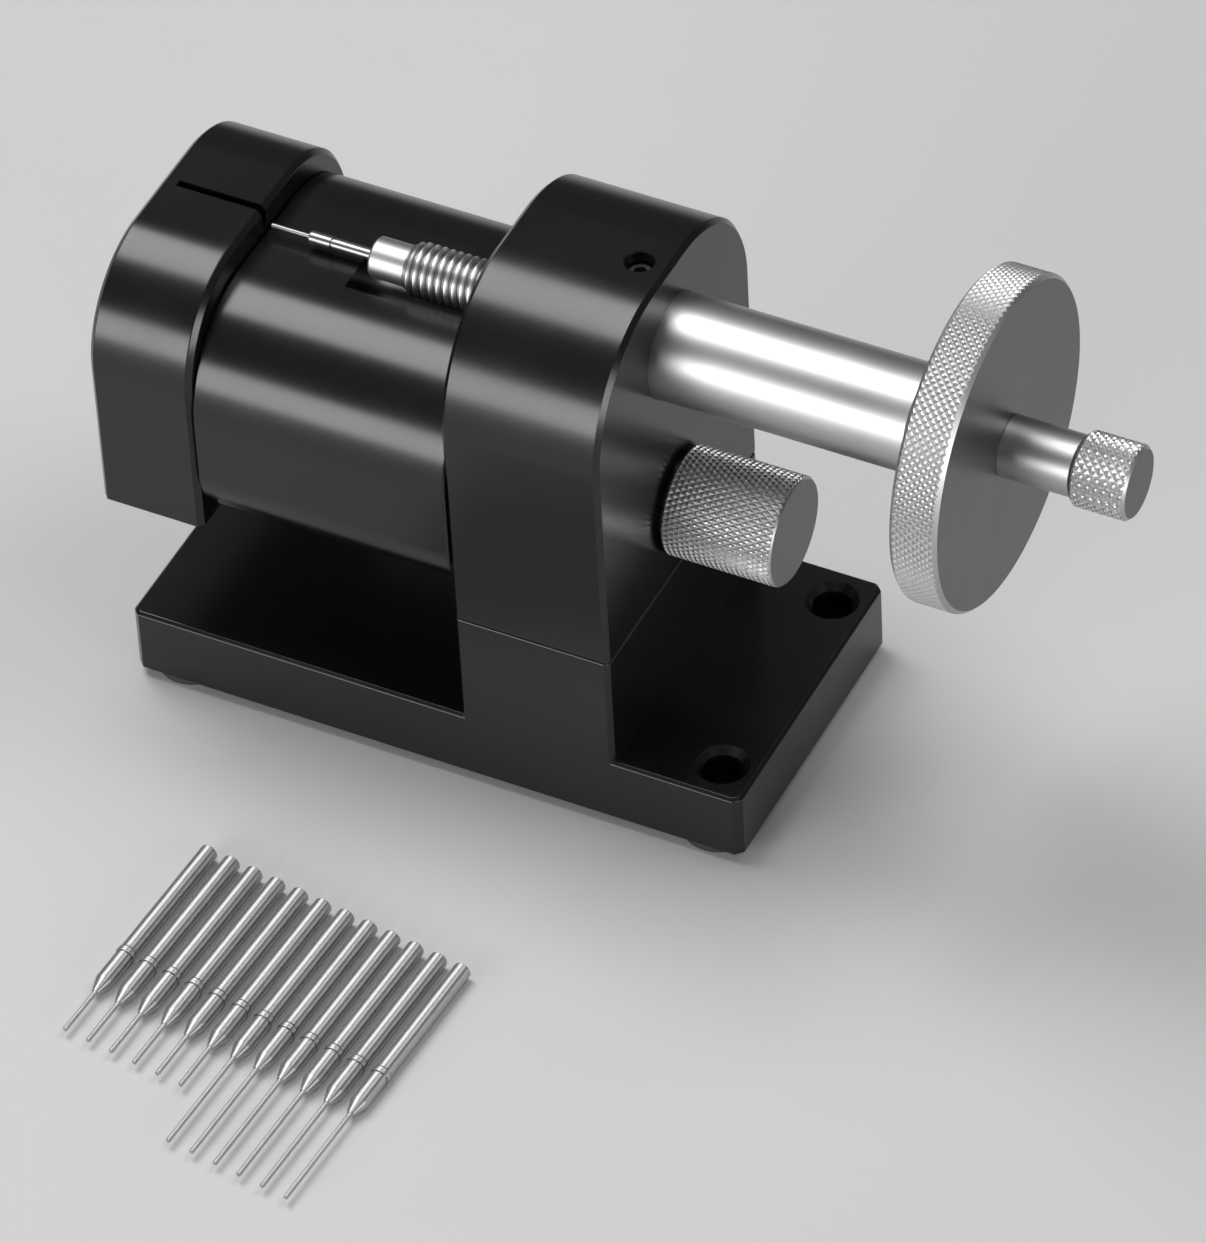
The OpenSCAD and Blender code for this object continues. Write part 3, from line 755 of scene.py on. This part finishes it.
class LINK_OT_head(bpy.types.Operator):
    """Build the head block with its slit and the pockets behind"""

    bl_idname = "link_remover.head"
    bl_label = "Head block"

    def execute(self, context):
        size = sizes("link_blocks")
        lo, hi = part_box("head_block")
        body = boxed(lo, hi)
        bevel(body, upper_edges(body, lo.z), size.head_shoulder, SHOULDER_STEPS)
        bevel(body, corners(body, BLOCK_EDGE), size.head_edge, 1)
        bevel(body, corners(body), size.soften, 2)
        floor = SPINDLE_AXIS.z - size.slit_drop
        slit = boxed(
            Vector((hi.x - size.slit_length, -size.slit_width / 2, floor)),
            Vector((hi.x + OVERRUN, size.slit_width / 2, hi.z + OVERRUN)),
        )
        screws_lo, screws_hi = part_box("head_screws")
        gap = screws_hi.y - (screws_hi.z - screws_lo.z) / 2
        cutters = [slit]
        for side in (-1, 1):
            centre = Vector((0, side * gap, middle("head_screws").z))
            start = -(lo.x + size.screw_pocket_depth)
            cutters.append(hole(centre, -X, start, -lo.x, size.screw_pocket, size.soften))
        body = combine(body, cutters)
        add_block("head_finish", body, "head_block")
        return {"FINISHED"}


class LINK_OT_barrel(bpy.types.Operator):
    """Build the polished barrel"""

    bl_idname = "link_remover.barrel"
    bl_label = "Barrel"

    def execute(self, context):
        size = sizes("link_turned")
        lo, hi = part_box("barrel")
        radius = across("barrel")
        edge = size.barrel_edge
        outline = [(lo.x, size.bore), (lo.x, radius - edge), (lo.x + edge, radius), (hi.x - edge, radius)]
        outline += [(hi.x, radius - edge), (hi.x, size.bore + size.soften)]
        outline += [(hi.x - size.soften, size.bore), (lo.x, size.bore)]
        body = spun(outline, SPINDLE_AXIS)
        bevel(body, corners(body, TURNED_EDGE), size.soften, 2)
        steel = polished_steel(SPINDLE_AXIS.z)
        add_piece("barrel_finish", body, steel, "frame", ["barrel"])
        return {"FINISHED"}


def threaded(start, end, crest, depth, pitch, lead_in, lead_out):
    """Screw thread along the spindle's axis, whose ends run out in chamfers."""
    turns = math.ceil((end - start) / pitch) + 2
    root = crest - depth
    flank = (pitch * 5 / 8) / 2
    rise = pitch / 4
    fall = pitch * 3 / 8 + flank
    outline = [(0, root), (rise, root), (rise + flank, crest), (fall, crest), (pitch, root)]
    bm = bmesh.new()
    first = SPINDLE_AXIS + X * (start - pitch)
    verts = [bm.verts.new(first + X * station + Z * radius) for station, radius in outline]
    edges = [bm.edges.new(pair) for pair in zip(verts, verts[1:])]
    bmesh.ops.spin(
        bm,
        geom=verts + edges,
        cent=SPINDLE_AXIS,
        axis=X,
        dvec=X * pitch / THREAD_STEPS,
        angle=FULL_TURN * turns,
        steps=THREAD_STEPS * turns,
    )
    bmesh.ops.remove_doubles(bm, verts=bm.verts, dist=MERGE)
    for place, side in ((start - pitch / 3, -X), (end + pitch / 3, X)):
        geometry = bm.verts[:] + bm.edges[:] + bm.faces[:]
        cut = bmesh.ops.bisect_plane(bm, geom=geometry, plane_co=X * place, plane_no=side, clear_outer=True)
        rim = [item for item in cut["geom_cut"] if isinstance(item, bmesh.types.BMEdge)]
        bmesh.ops.holes_fill(bm, edges=rim)
    bmesh.ops.recalc_face_normals(bm, faces=bm.faces)
    clear = crest + OVERRUN
    outline = [(start, 0), (start, crest - lead_in), (start + lead_in + OVERRUN, clear)]
    outline += [(end - lead_out - OVERRUN, clear), (end, crest - lead_out), (end, 0)]
    return combine(bm, [spun(outline, SPINDLE_AXIS)], "INTERSECT")


class LINK_OT_spindle(bpy.types.Operator):
    """Build the spindle with its nose and its screw thread"""

    bl_idname = "link_remover.spindle"
    bl_label = "Spindle"

    def execute(self, context):
        size = sizes("link_turned")
        lo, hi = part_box("spindle")
        crest = across("spindle")
        wheel = low("handwheel").x
        start = lo.x + size.nose_length
        root = crest - size.thread_depth
        core = root - size.core_gap
        edge = size.nose_edge
        nose = size.nose_radius
        bore = size.pin_bore
        stud = hi.x - size.stud_length
        outline = [(start + OVERRUN, bore), (lo.x + size.soften, bore), (lo.x, bore + size.soften)]
        outline += [(lo.x, nose - edge), (lo.x + edge, nose), (start, nose), (start, core), (stud, core)]
        outline += [(stud, size.stud_radius), (hi.x, size.stud_radius)]
        outline += [(hi.x, bore), (start + OVERRUN, bore)]
        body = spun(outline, SPINDLE_AXIS)
        bevel(body, corners(body, TURNED_EDGE), size.soften, 2)
        thread = threaded(start, wheel, crest, size.thread_depth, size.pitch, crest - nose, size.thread_end)
        body = joined(body, thread)
        # The thread's steel carries painted shade in its roots and a painted highlight on its crests.
        steel = grooved_steel(SPINDLE_AXIS.z, root, crest - size.bright_crest, "groove")
        piece = add_piece("spindle_finish", body, steel, "spindle", ["spindle"])
        piece.data.materials.append(polished_steel(SPINDLE_AXIS.z))
        for face in piece.data.polygons:
            if face.center.x < start + MERGE:
                face.material_index = 1
        return {"FINISHED"}


class LINK_OT_driver_pin(bpy.types.Operator):
    """Build the driver pin with its collar and tip"""

    bl_idname = "link_remover.driver_pin"
    bl_label = "Driver pin"

    def execute(self, context):
        size = sizes("link_pins")
        lo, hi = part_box("driver_pin")
        collar = across("driver_pin")
        shoulder = lo.x + size.driver_tip
        back = shoulder + size.collar
        tip = size.driver_tip_radius
        neck = size.driver_radius
        edge = size.collar_edge
        root = size.fillet
        relief = back + size.relief
        waist = neck - size.relief_depth
        outline = [(lo.x, 0), (lo.x, tip), (shoulder - root, tip), (shoulder, tip + root)]
        outline += [(shoulder, collar - edge), (shoulder + edge, collar), (back, collar)]
        outline += [(back, waist), (relief, waist), (relief, neck), (hi.x, neck), (hi.x, 0)]
        body = spun(outline, SPINDLE_AXIS, X, 64)
        bevel(body, corners(body, TURNED_EDGE), size.soften, 1)
        add_piece("driver_pin_finish", body, ground_steel("X"), "pin_carrier", ["driver_pin"])
        return {"FINISHED"}


def knurled(envelope, centre, radius, start, end, width, length_along):
    """Diamond knurl on a cylinder, trimmed to the envelope of the turned piece."""
    size = sizes("link_turned")
    valley = radius - size.knurl_depth
    count = round(FULL_TURN * radius / width)
    rows = math.ceil((end - start) / length_along) + 1
    bm = bmesh.new()
    place = Matrix.Translation(centre + X * (start + end) / 2) @ ALONG_X
    bmesh.ops.create_cone(
        bm,
        cap_ends=False,
        segments=count,
        radius1=valley,
        radius2=valley,
        depth=rows * length_along,
        matrix=place,
    )
    lengthwise = [edge for edge in bm.edges if runs_along(edge, X)]
    bmesh.ops.subdivide_edges(bm, edges=lengthwise, cuts=rows - 1, use_grid_fill=True)
    grid = [edge for edge in bm.edges if not edge.is_boundary]
    bmesh.ops.poke(bm, faces=bm.faces[:], offset=0)
    bmesh.ops.dissolve_edges(bm, edges=grid, use_verts=False)
    diamonds = [face for face in bm.faces if len(face.verts) == 4]
    inner = width * length_along / (2 * math.hypot(width, length_along))
    flank = inner * (1 - size.knurl_flat)
    bmesh.ops.inset_individual(
        bm, faces=diamonds, thickness=flank, depth=size.knurl_depth, use_even_offset=True
    )
    bmesh.ops.holes_fill(bm, edges=[edge for edge in bm.edges if edge.is_boundary])
    close_up(bm)
    return combine(envelope, [bm], "INTERSECT")


def knurl_steel(axis_height, radius):
    """Steel for a knurl of the given outer radius, with painted shade between its diamonds and a painted
    highlight on their tops.
    """
    depth = sizes("link_turned").knurl_depth
    return grooved_steel(axis_height, radius - depth, radius - 0.2 * depth, "valley")


def face_finish(piece, axis_height):
    """Gives a knurled piece's end faces the turned finish, painted dark as painted shade, and its chamfers
    the polished one.
    """
    piece.data.materials.append(turned_steel(axis_height))
    piece.data.materials.append(polished_steel(axis_height))
    for face in piece.data.polygons:
        if abs(face.normal.x) > 0.95:
            face.material_index = 1
        elif abs(face.normal.x) > 0.6:
            face.material_index = 2


class LINK_OT_handwheel(bpy.types.Operator):
    """Build the handwheel with its knurled rim"""

    bl_idname = "link_remover.handwheel"
    bl_label = "Handwheel"

    def execute(self, context):
        size = sizes("link_turned")
        lo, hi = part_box("handwheel")
        radius = across("handwheel")
        edge = size.wheel_edge
        bore = size.wheel_bore
        rim = radius - edge
        outline = [(lo.x, bore), (lo.x, rim), (lo.x + edge, radius), (hi.x - edge, radius), (hi.x, rim)]
        outline += [(hi.x, bore), (lo.x, bore)]
        envelope = spun(outline, SPINDLE_AXIS, X, 2 * ROUND_STEPS)
        body = knurled(envelope, SPINDLE_AXIS, radius, lo.x, hi.x, size.knurl, size.knurl)
        steel = knurl_steel(SPINDLE_AXIS.z, radius)
        piece = add_piece("handwheel_finish", body, steel, "spindle", ["handwheel"])
        face_finish(piece, SPINDLE_AXIS.z)
        return {"FINISHED"}


class LINK_OT_rear_shaft(bpy.types.Operator):
    """Build the shaft behind the handwheel"""

    bl_idname = "link_remover.rear_shaft"
    bl_label = "Rear shaft"

    def execute(self, context):
        size = sizes("link_turned")
        lo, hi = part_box("rear_shaft")
        radius = across("rear_shaft")
        edge = size.shaft_edge
        wide = size.shaft_mouth
        narrow = size.shaft_bore
        step = hi.x - size.shaft_mouth_depth
        outline = [(lo.x, narrow), (lo.x, radius), (hi.x - edge, radius), (hi.x, radius - edge)]
        outline += [(hi.x, wide), (step, wide), (step, narrow), (lo.x, narrow)]
        body = spun(outline, SPINDLE_AXIS)
        bevel(body, corners(body, TURNED_EDGE), size.soften, 2)
        steel = polished_steel(SPINDLE_AXIS.z)
        add_piece("rear_shaft_finish", body, steel, "spindle", ["rear_shaft"])
        return {"FINISHED"}


class LINK_OT_end_knob(bpy.types.Operator):
    """Build the knurled end knob"""

    bl_idname = "link_remover.end_knob"
    bl_label = "End knob"

    def execute(self, context):
        size = sizes("link_turned")
        hi = high("end_knob")
        radius = across("end_knob")
        front = high("rear_shaft").x + size.knob_gap
        edge = size.knob_edge
        rim = radius - edge
        outline = [(front, 0), (front, rim), (front + edge, radius), (hi.x - edge, radius)]
        outline += [(hi.x, rim), (hi.x, 0)]
        envelope = spun(outline, SPINDLE_AXIS)
        body = knurled(envelope, SPINDLE_AXIS, radius, front, hi.x, size.knurl, size.knurl)
        inner = low("end_knob").x
        stub = size.stub_radius
        rod = spun([(inner, 0), (inner, stub), (front + edge, stub), (front + edge, 0)], SPINDLE_AXIS)
        body = joined(body, rod)
        steel = knurl_steel(SPINDLE_AXIS.z, radius)
        piece = add_piece("end_knob_finish", body, steel, "end_knob", ["end_knob"])
        face_finish(piece, SPINDLE_AXIS.z)
        return {"FINISHED"}


class LINK_OT_clamp_knob(bpy.types.Operator):
    """Build the knurled clamp knob and finish its washer"""

    bl_idname = "link_remover.clamp_knob"
    bl_label = "Clamp knob"

    def execute(self, context):
        size = sizes("link_turned")
        lo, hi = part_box("clamp_knob")
        radius = across("clamp_knob")
        edge = size.clamp_edge
        bore = size.clamp_bore
        end = high("clamp_stud").x + OVERRUN
        rim = radius - edge
        outline = [(end, 0), (end, bore), (lo.x, bore), (lo.x, rim), (lo.x + edge, radius)]
        outline += [(hi.x - edge, radius), (hi.x, rim), (hi.x, 0)]
        envelope = spun(outline, CLAMP_AXIS)
        body = knurled(envelope, CLAMP_AXIS, radius, lo.x, hi.x, size.clamp_knurl, size.clamp_knurl_length)
        steel = knurl_steel(CLAMP_AXIS.z, radius)
        piece = add_piece("clamp_knob_finish", body, steel, "clamp_knob", ["clamp_knob"])
        face_finish(piece, CLAMP_AXIS.z)
        dress("clamp_washer", black_oxide())
        return {"FINISHED"}


def socket_cutter(centre, axis, start, end, across_flats):
    """Six-sided cutter for a hexagon socket."""
    bm = bmesh.new()
    turn = Z.rotation_difference(axis).to_matrix().to_4x4()
    place = Matrix.Translation(centre + axis * (start + end) / 2) @ turn
    radius = across_flats / math.sqrt(3)
    bmesh.ops.create_cone(
        bm, cap_ends=True, segments=6, radius1=radius, radius2=radius, depth=end - start, matrix=place
    )
    return bm


class LINK_OT_lock_screw(bpy.types.Operator):
    """Build the socket set screw that locks the barrel"""

    bl_idname = "link_remover.lock_screw"
    bl_label = "Lock screw"

    def execute(self, context):
        size = sizes("link_screws")
        lo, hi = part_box("barrel_screw")
        centre = middle("barrel_screw")
        base = Vector((centre.x, centre.y, 0))
        radius = across("barrel_screw")
        edge = size.lock_edge
        rim = radius - edge
        outline = [(lo.z, 0), (lo.z, rim), (lo.z + edge, radius), (hi.z - edge, radius)]
        outline += [(hi.z, rim), (hi.z, 0)]
        body = spun(outline, base, Z, 64)
        bevel(body, corners(body, TURNED_EDGE), size.lock_soften, 2)
        key = size.lock_key
        body = combine(body, [socket_cutter(base, Z, hi.z - key, hi.z + OVERRUN, key)])
        add_piece("lock_screw_finish", body, black_oxide(), "frame", ["barrel_screw"])
        return {"FINISHED"}


def cap_screw(centre, axis, end, head_radius, head_height, shank_radius):
    """Cap screw whose head starts at centre and whose shank runs on along the axis to its end."""
    size = sizes("link_screws")
    edge = size.edge
    outline = [(0, 0), (0, head_radius - edge), (edge, head_radius), (head_height, head_radius)]
    outline += [(head_height, shank_radius), (end, shank_radius), (end, 0)]
    body = spun(outline, centre, axis, 64)
    bevel(body, corners(body, TURNED_EDGE), size.soften, 2)
    return combine(body, [socket_cutter(centre, axis, -OVERRUN, size.key_depth, size.key)])


class LINK_OT_cap_screws(bpy.types.Operator):
    """Build the head screws and the arch bolts"""

    bl_idname = "link_remover.cap_screws"
    bl_label = "Cap screws"

    def execute(self, context):
        size = sizes("link_screws")
        lo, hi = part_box("head_screws")
        radius = (hi.z - lo.z) / 2
        gap = hi.y - radius
        end = hi.x - lo.x
        pair = []
        for side in (-1, 1):
            centre = Vector((lo.x, side * gap, middle("head_screws").z))
            pair.append(cap_screw(centre, X, end, radius, size.head_height, size.shank))
        add_piece("head_screws_finish", joined(*pair), black_oxide(), "frame", ["head_screws"])
        lo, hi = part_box("arch_bolts")
        radius = (hi.x - lo.x) / 2
        gap = hi.y - radius
        end = hi.z - lo.z
        pair = []
        for side in (-1, 1):
            centre = Vector((middle("arch_bolts").x, side * gap, lo.z))
            pair.append(cap_screw(centre, Z, end, radius, size.bolt_head, size.bolt_shank))
        add_piece("arch_bolts_finish", joined(*pair), black_oxide(), "frame", ["arch_bolts"])
        return {"FINISHED"}


class LINK_OT_feet(bpy.types.Operator):
    """Build the four ring-shaped rubber feet, whose holes lie on the line of the bench holes"""

    bl_idname = "link_remover.feet"
    bl_label = "Feet"

    def execute(self, context):
        size = sizes("link_blocks")
        line = high("base_plate").x - size.bench_inset
        for node in FOOT_NODES:
            lo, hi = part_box(node)
            centre = middle(node)
            centre.z = 0
            radius = across(node)
            body = spun([(lo.z, 0), (lo.z, radius), (hi.z, radius), (hi.z, 0)], centre, Z, 96)
            opening = Vector((math.copysign(line, centre.x), centre.y, 0))
            body = combine(body, [hole(opening, Z, lo.z - OVERRUN, hi.z, size.foot_hole)])
            bevel(body, [e for e in corners(body) if height_of(e) < 0], size.foot_edge, 3)
            add_piece(f"{node}_finish", body, foot_rubber(), "frame", [node])
        return {"FINISHED"}


class LINK_OT_spare_pins(bpy.types.Operator):
    """Build the spare driver pins"""

    bl_idname = "link_remover.spare_pins"
    bl_label = "Spare pins"

    def execute(self, context):
        size = sizes("link_pins")
        forward = Vector((-math.sin(size.turn), -math.cos(size.turn), 0))
        for node in SPARE_NODES:
            lo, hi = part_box(node)
            level = lo.z + size.ring_radius
            side = size.shank_radius * math.cos(size.turn) + size.rear_edge * math.sin(size.turn)
            back = (size.shank_radius - size.rear_edge) * math.sin(size.turn)
            rear = Vector((hi.x - side, hi.y - back, level))
            end = (rear.y - lo.y - size.tip_radius * math.sin(size.turn)) / math.cos(size.turn)
            shank = size.shank_radius
            tip = size.tip_radius
            ring = size.shank
            front = ring + size.ring
            cone = front + size.front
            small = cone + size.cone
            waist = shank - size.relief_depth
            before = ring - size.relief
            after = front + size.relief
            outline = [(0, 0), (0, shank - size.rear_edge), (size.rear_edge, shank), (before, shank)]
            outline += [(before, waist), (ring, waist), (ring, size.ring_radius), (front, size.ring_radius)]
            outline += [(front, waist), (after, waist), (after, shank), (cone, shank)]
            outline += [(small, size.cone_radius), (small, tip), (end, tip), (end, 0)]
            body = spun(outline, rear, forward, 64)
            bevel(body, corners(body, TURNED_EDGE), size.soften, 1)
            add_piece(f"{node}_finish", body, ground_steel("Y"), node, [node])
        return {"FINISHED"}


class LINK_OT_inner_pieces(bpy.types.Operator):
    """Finish the pieces that lie inside the others"""

    bl_idname = "link_remover.inner_pieces"
    bl_label = "Inner pieces"

    def execute(self, context):
        dress("clamp_stud", turned_steel(CLAMP_AXIS.z))
        for node, direction in (("stop_rod", "X"), ("block_dowels", "X"), ("arch_dowels", "Z")):
            dress(node, ground_steel(direction))
        return {"FINISHED"}


def soft_light(name, place, aim, power, width, height):
    """Rectangular soft box that faces its aim."""
    lamp = bpy.data.lights.new(name, "AREA")
    lamp.shape = "RECTANGLE"
    lamp.size = width
    lamp.size_y = height
    lamp.energy = power
    light = bpy.data.objects.new(name, lamp)
    light.location = place
    light.rotation_euler = (aim - place).to_track_quat("-Z", "Y").to_euler()
    bpy.context.scene.collection.objects.link(light)
    return light


class LINK_OT_stage(bpy.types.Operator):
    """Set up the floor, the surroundings, the lights and the camera"""

    bl_idname = "link_remover.stage"
    bl_label = "Stage"

    def execute(self, context):
        setting = sizes("link_stage")
        scene = context.scene
        scene.view_settings.view_transform = "Standard"
        self.floor(setting)
        self.surroundings(scene, setting)
        aim = Vector(setting.target)
        soft_light("top light", Vector((-0.36, 0.10, 0.98)), aim, setting.key, 0.55, 0.70)
        soft_light("front light", Vector((-0.36, -0.92, 0.24)), aim, setting.front, 0.75, 0.42)
        soft_light("side light", Vector((0.92, -0.40, 0.22)), aim, setting.side, 0.40, 0.40)
        soft_light("back light", Vector((0.46, 0.28, 0.96)), aim, setting.rear, 0.62, 0.42)
        self.camera(scene, setting)
        return {"FINISHED"}

    def floor(self, setting):
        """Large plain floor under the feet."""
        bm = bmesh.new()
        bmesh.ops.create_grid(bm, x_segments=1, y_segments=1, size=setting.floor_size)
        mesh = bpy.data.meshes.new("floor")
        bmesh.ops.translate(bm, verts=bm.verts, vec=(0, 0, min(low(node).z for node in FOOT_NODES)))
        bm.to_mesh(mesh)
        bm.free()
        floor = bpy.data.objects.new("floor", mesh)
        bpy.context.scene.collection.objects.link(floor)
        shading = Shading("floor paper")
        grain = shading.noise(shading.moved(), 40, 3)
        paper = tuple(setting.floor)
        darker = tuple(0.985 * value for value in paper)
        shading.wire(shading.blend(grain, darker, paper), shading.shader.inputs["Base Color"])
        shading.set(Roughness=0.75)
        mesh.materials.append(shading.material)

    def surroundings(self, scene, setting):
        """Even surroundings that grow lighter upwards, plain behind the object."""
        world = bpy.data.worlds.new("studio")
        scene.world = world
        world.use_nodes = True
        tree = world.node_tree
        background = tree.nodes["Background"]
        place = tree.nodes.new("ShaderNodeTexCoord")
        parts = tree.nodes.new("ShaderNodeSeparateXYZ")
        tree.links.new(place.outputs["Generated"], parts.inputs[0])
        rise = tree.nodes.new("ShaderNodeMapRange")
        rise.inputs["From Min"].default_value = -0.1
        rise.inputs["From Max"].default_value = 0.9
        rise.inputs["To Min"].default_value = 0.35
        rise.inputs["To Max"].default_value = 1.0
        tree.links.new(parts.outputs["Z"], rise.inputs["Value"])
        tint = tree.nodes.new("ShaderNodeMix")
        tint.data_type = "RGBA"
        tint.inputs["A"].default_value = (0, 0, 0, 1)
        tint.inputs["B"].default_value = (1, 1, 1, 1)
        tree.links.new(rise.outputs["Result"], tint.inputs["Factor"])
        tree.links.new(tint.outputs["Result"], background.inputs["Color"])
        background.inputs["Strength"].default_value = setting.world

    def camera(self, scene, setting):
        """Camera at the photograph's angle."""
        back = Vector(
            (
                math.sin(setting.azimuth) * math.cos(setting.elevation),
                -math.cos(setting.azimuth) * math.cos(setting.elevation),
                math.sin(setting.elevation),
            )
        )
        data = bpy.data.cameras.new("camera")
        data.sensor_width = 36
        data.lens = setting.focal / PHOTO_HEIGHT * data.sensor_width
        data.clip_start = 0.05
        data.clip_end = 50
        camera = bpy.data.objects.new("camera", data)
        camera.rotation_mode = "QUATERNION"
        camera.location = Vector(setting.target) + back * setting.distance
        camera.rotation_quaternion = (-back).to_track_quat("-Z", "Y") @ Quaternion(Z, setting.roll)
        scene.collection.objects.link(camera)
        scene.camera = camera


class LINK_PT_panel(bpy.types.Panel):
    """Lists the pieces in the sidebar"""

    bl_idname = "LINK_PT_panel"
    bl_label = "Link remover"
    bl_space_type = "VIEW_3D"
    bl_region_type = "UI"
    bl_category = "Link remover"

    def draw(self, context):
        column = self.layout.column()
        for operator in OPERATORS:
            column.operator(operator.bl_idname)


GROUPS = {
    "link_blocks": BlockSizes,
    "link_turned": TurnedSizes,
    "link_pins": PinSizes,
    "link_screws": ScrewSizes,
    "link_finishes": Finishes,
    "link_stage": StageSizes,
}
OPERATORS = (
    LINK_OT_stage,
    LINK_OT_base_plate,
    LINK_OT_arch,
    LINK_OT_support_block,
    LINK_OT_head,
    LINK_OT_barrel,
    LINK_OT_spindle,
    LINK_OT_driver_pin,
    LINK_OT_handwheel,
    LINK_OT_rear_shaft,
    LINK_OT_end_knob,
    LINK_OT_clamp_knob,
    LINK_OT_lock_screw,
    LINK_OT_cap_screws,
    LINK_OT_feet,
    LINK_OT_spare_pins,
    LINK_OT_inner_pieces,
)


def register():
    """Adds the settings, the operators and the panel."""
    for name, group in GROUPS.items():
        bpy.utils.register_class(group)
        setattr(bpy.types.Scene, name, PointerProperty(type=group))
    for operator in OPERATORS:
        bpy.utils.register_class(operator)
    bpy.utils.register_class(LINK_PT_panel)


def unregister():
    """Takes them away again."""
    bpy.utils.unregister_class(LINK_PT_panel)
    for operator in reversed(OPERATORS):
        bpy.utils.unregister_class(operator)
    for name, group in reversed(GROUPS.items()):
        delattr(bpy.types.Scene, name)
        bpy.utils.unregister_class(group)


def main():
    """Builds every piece."""
    register()
    for operator in OPERATORS:
        group, name = operator.bl_idname.split(".")
        getattr(getattr(bpy.ops, group), name)()


if __name__ == "__main__":
    main()
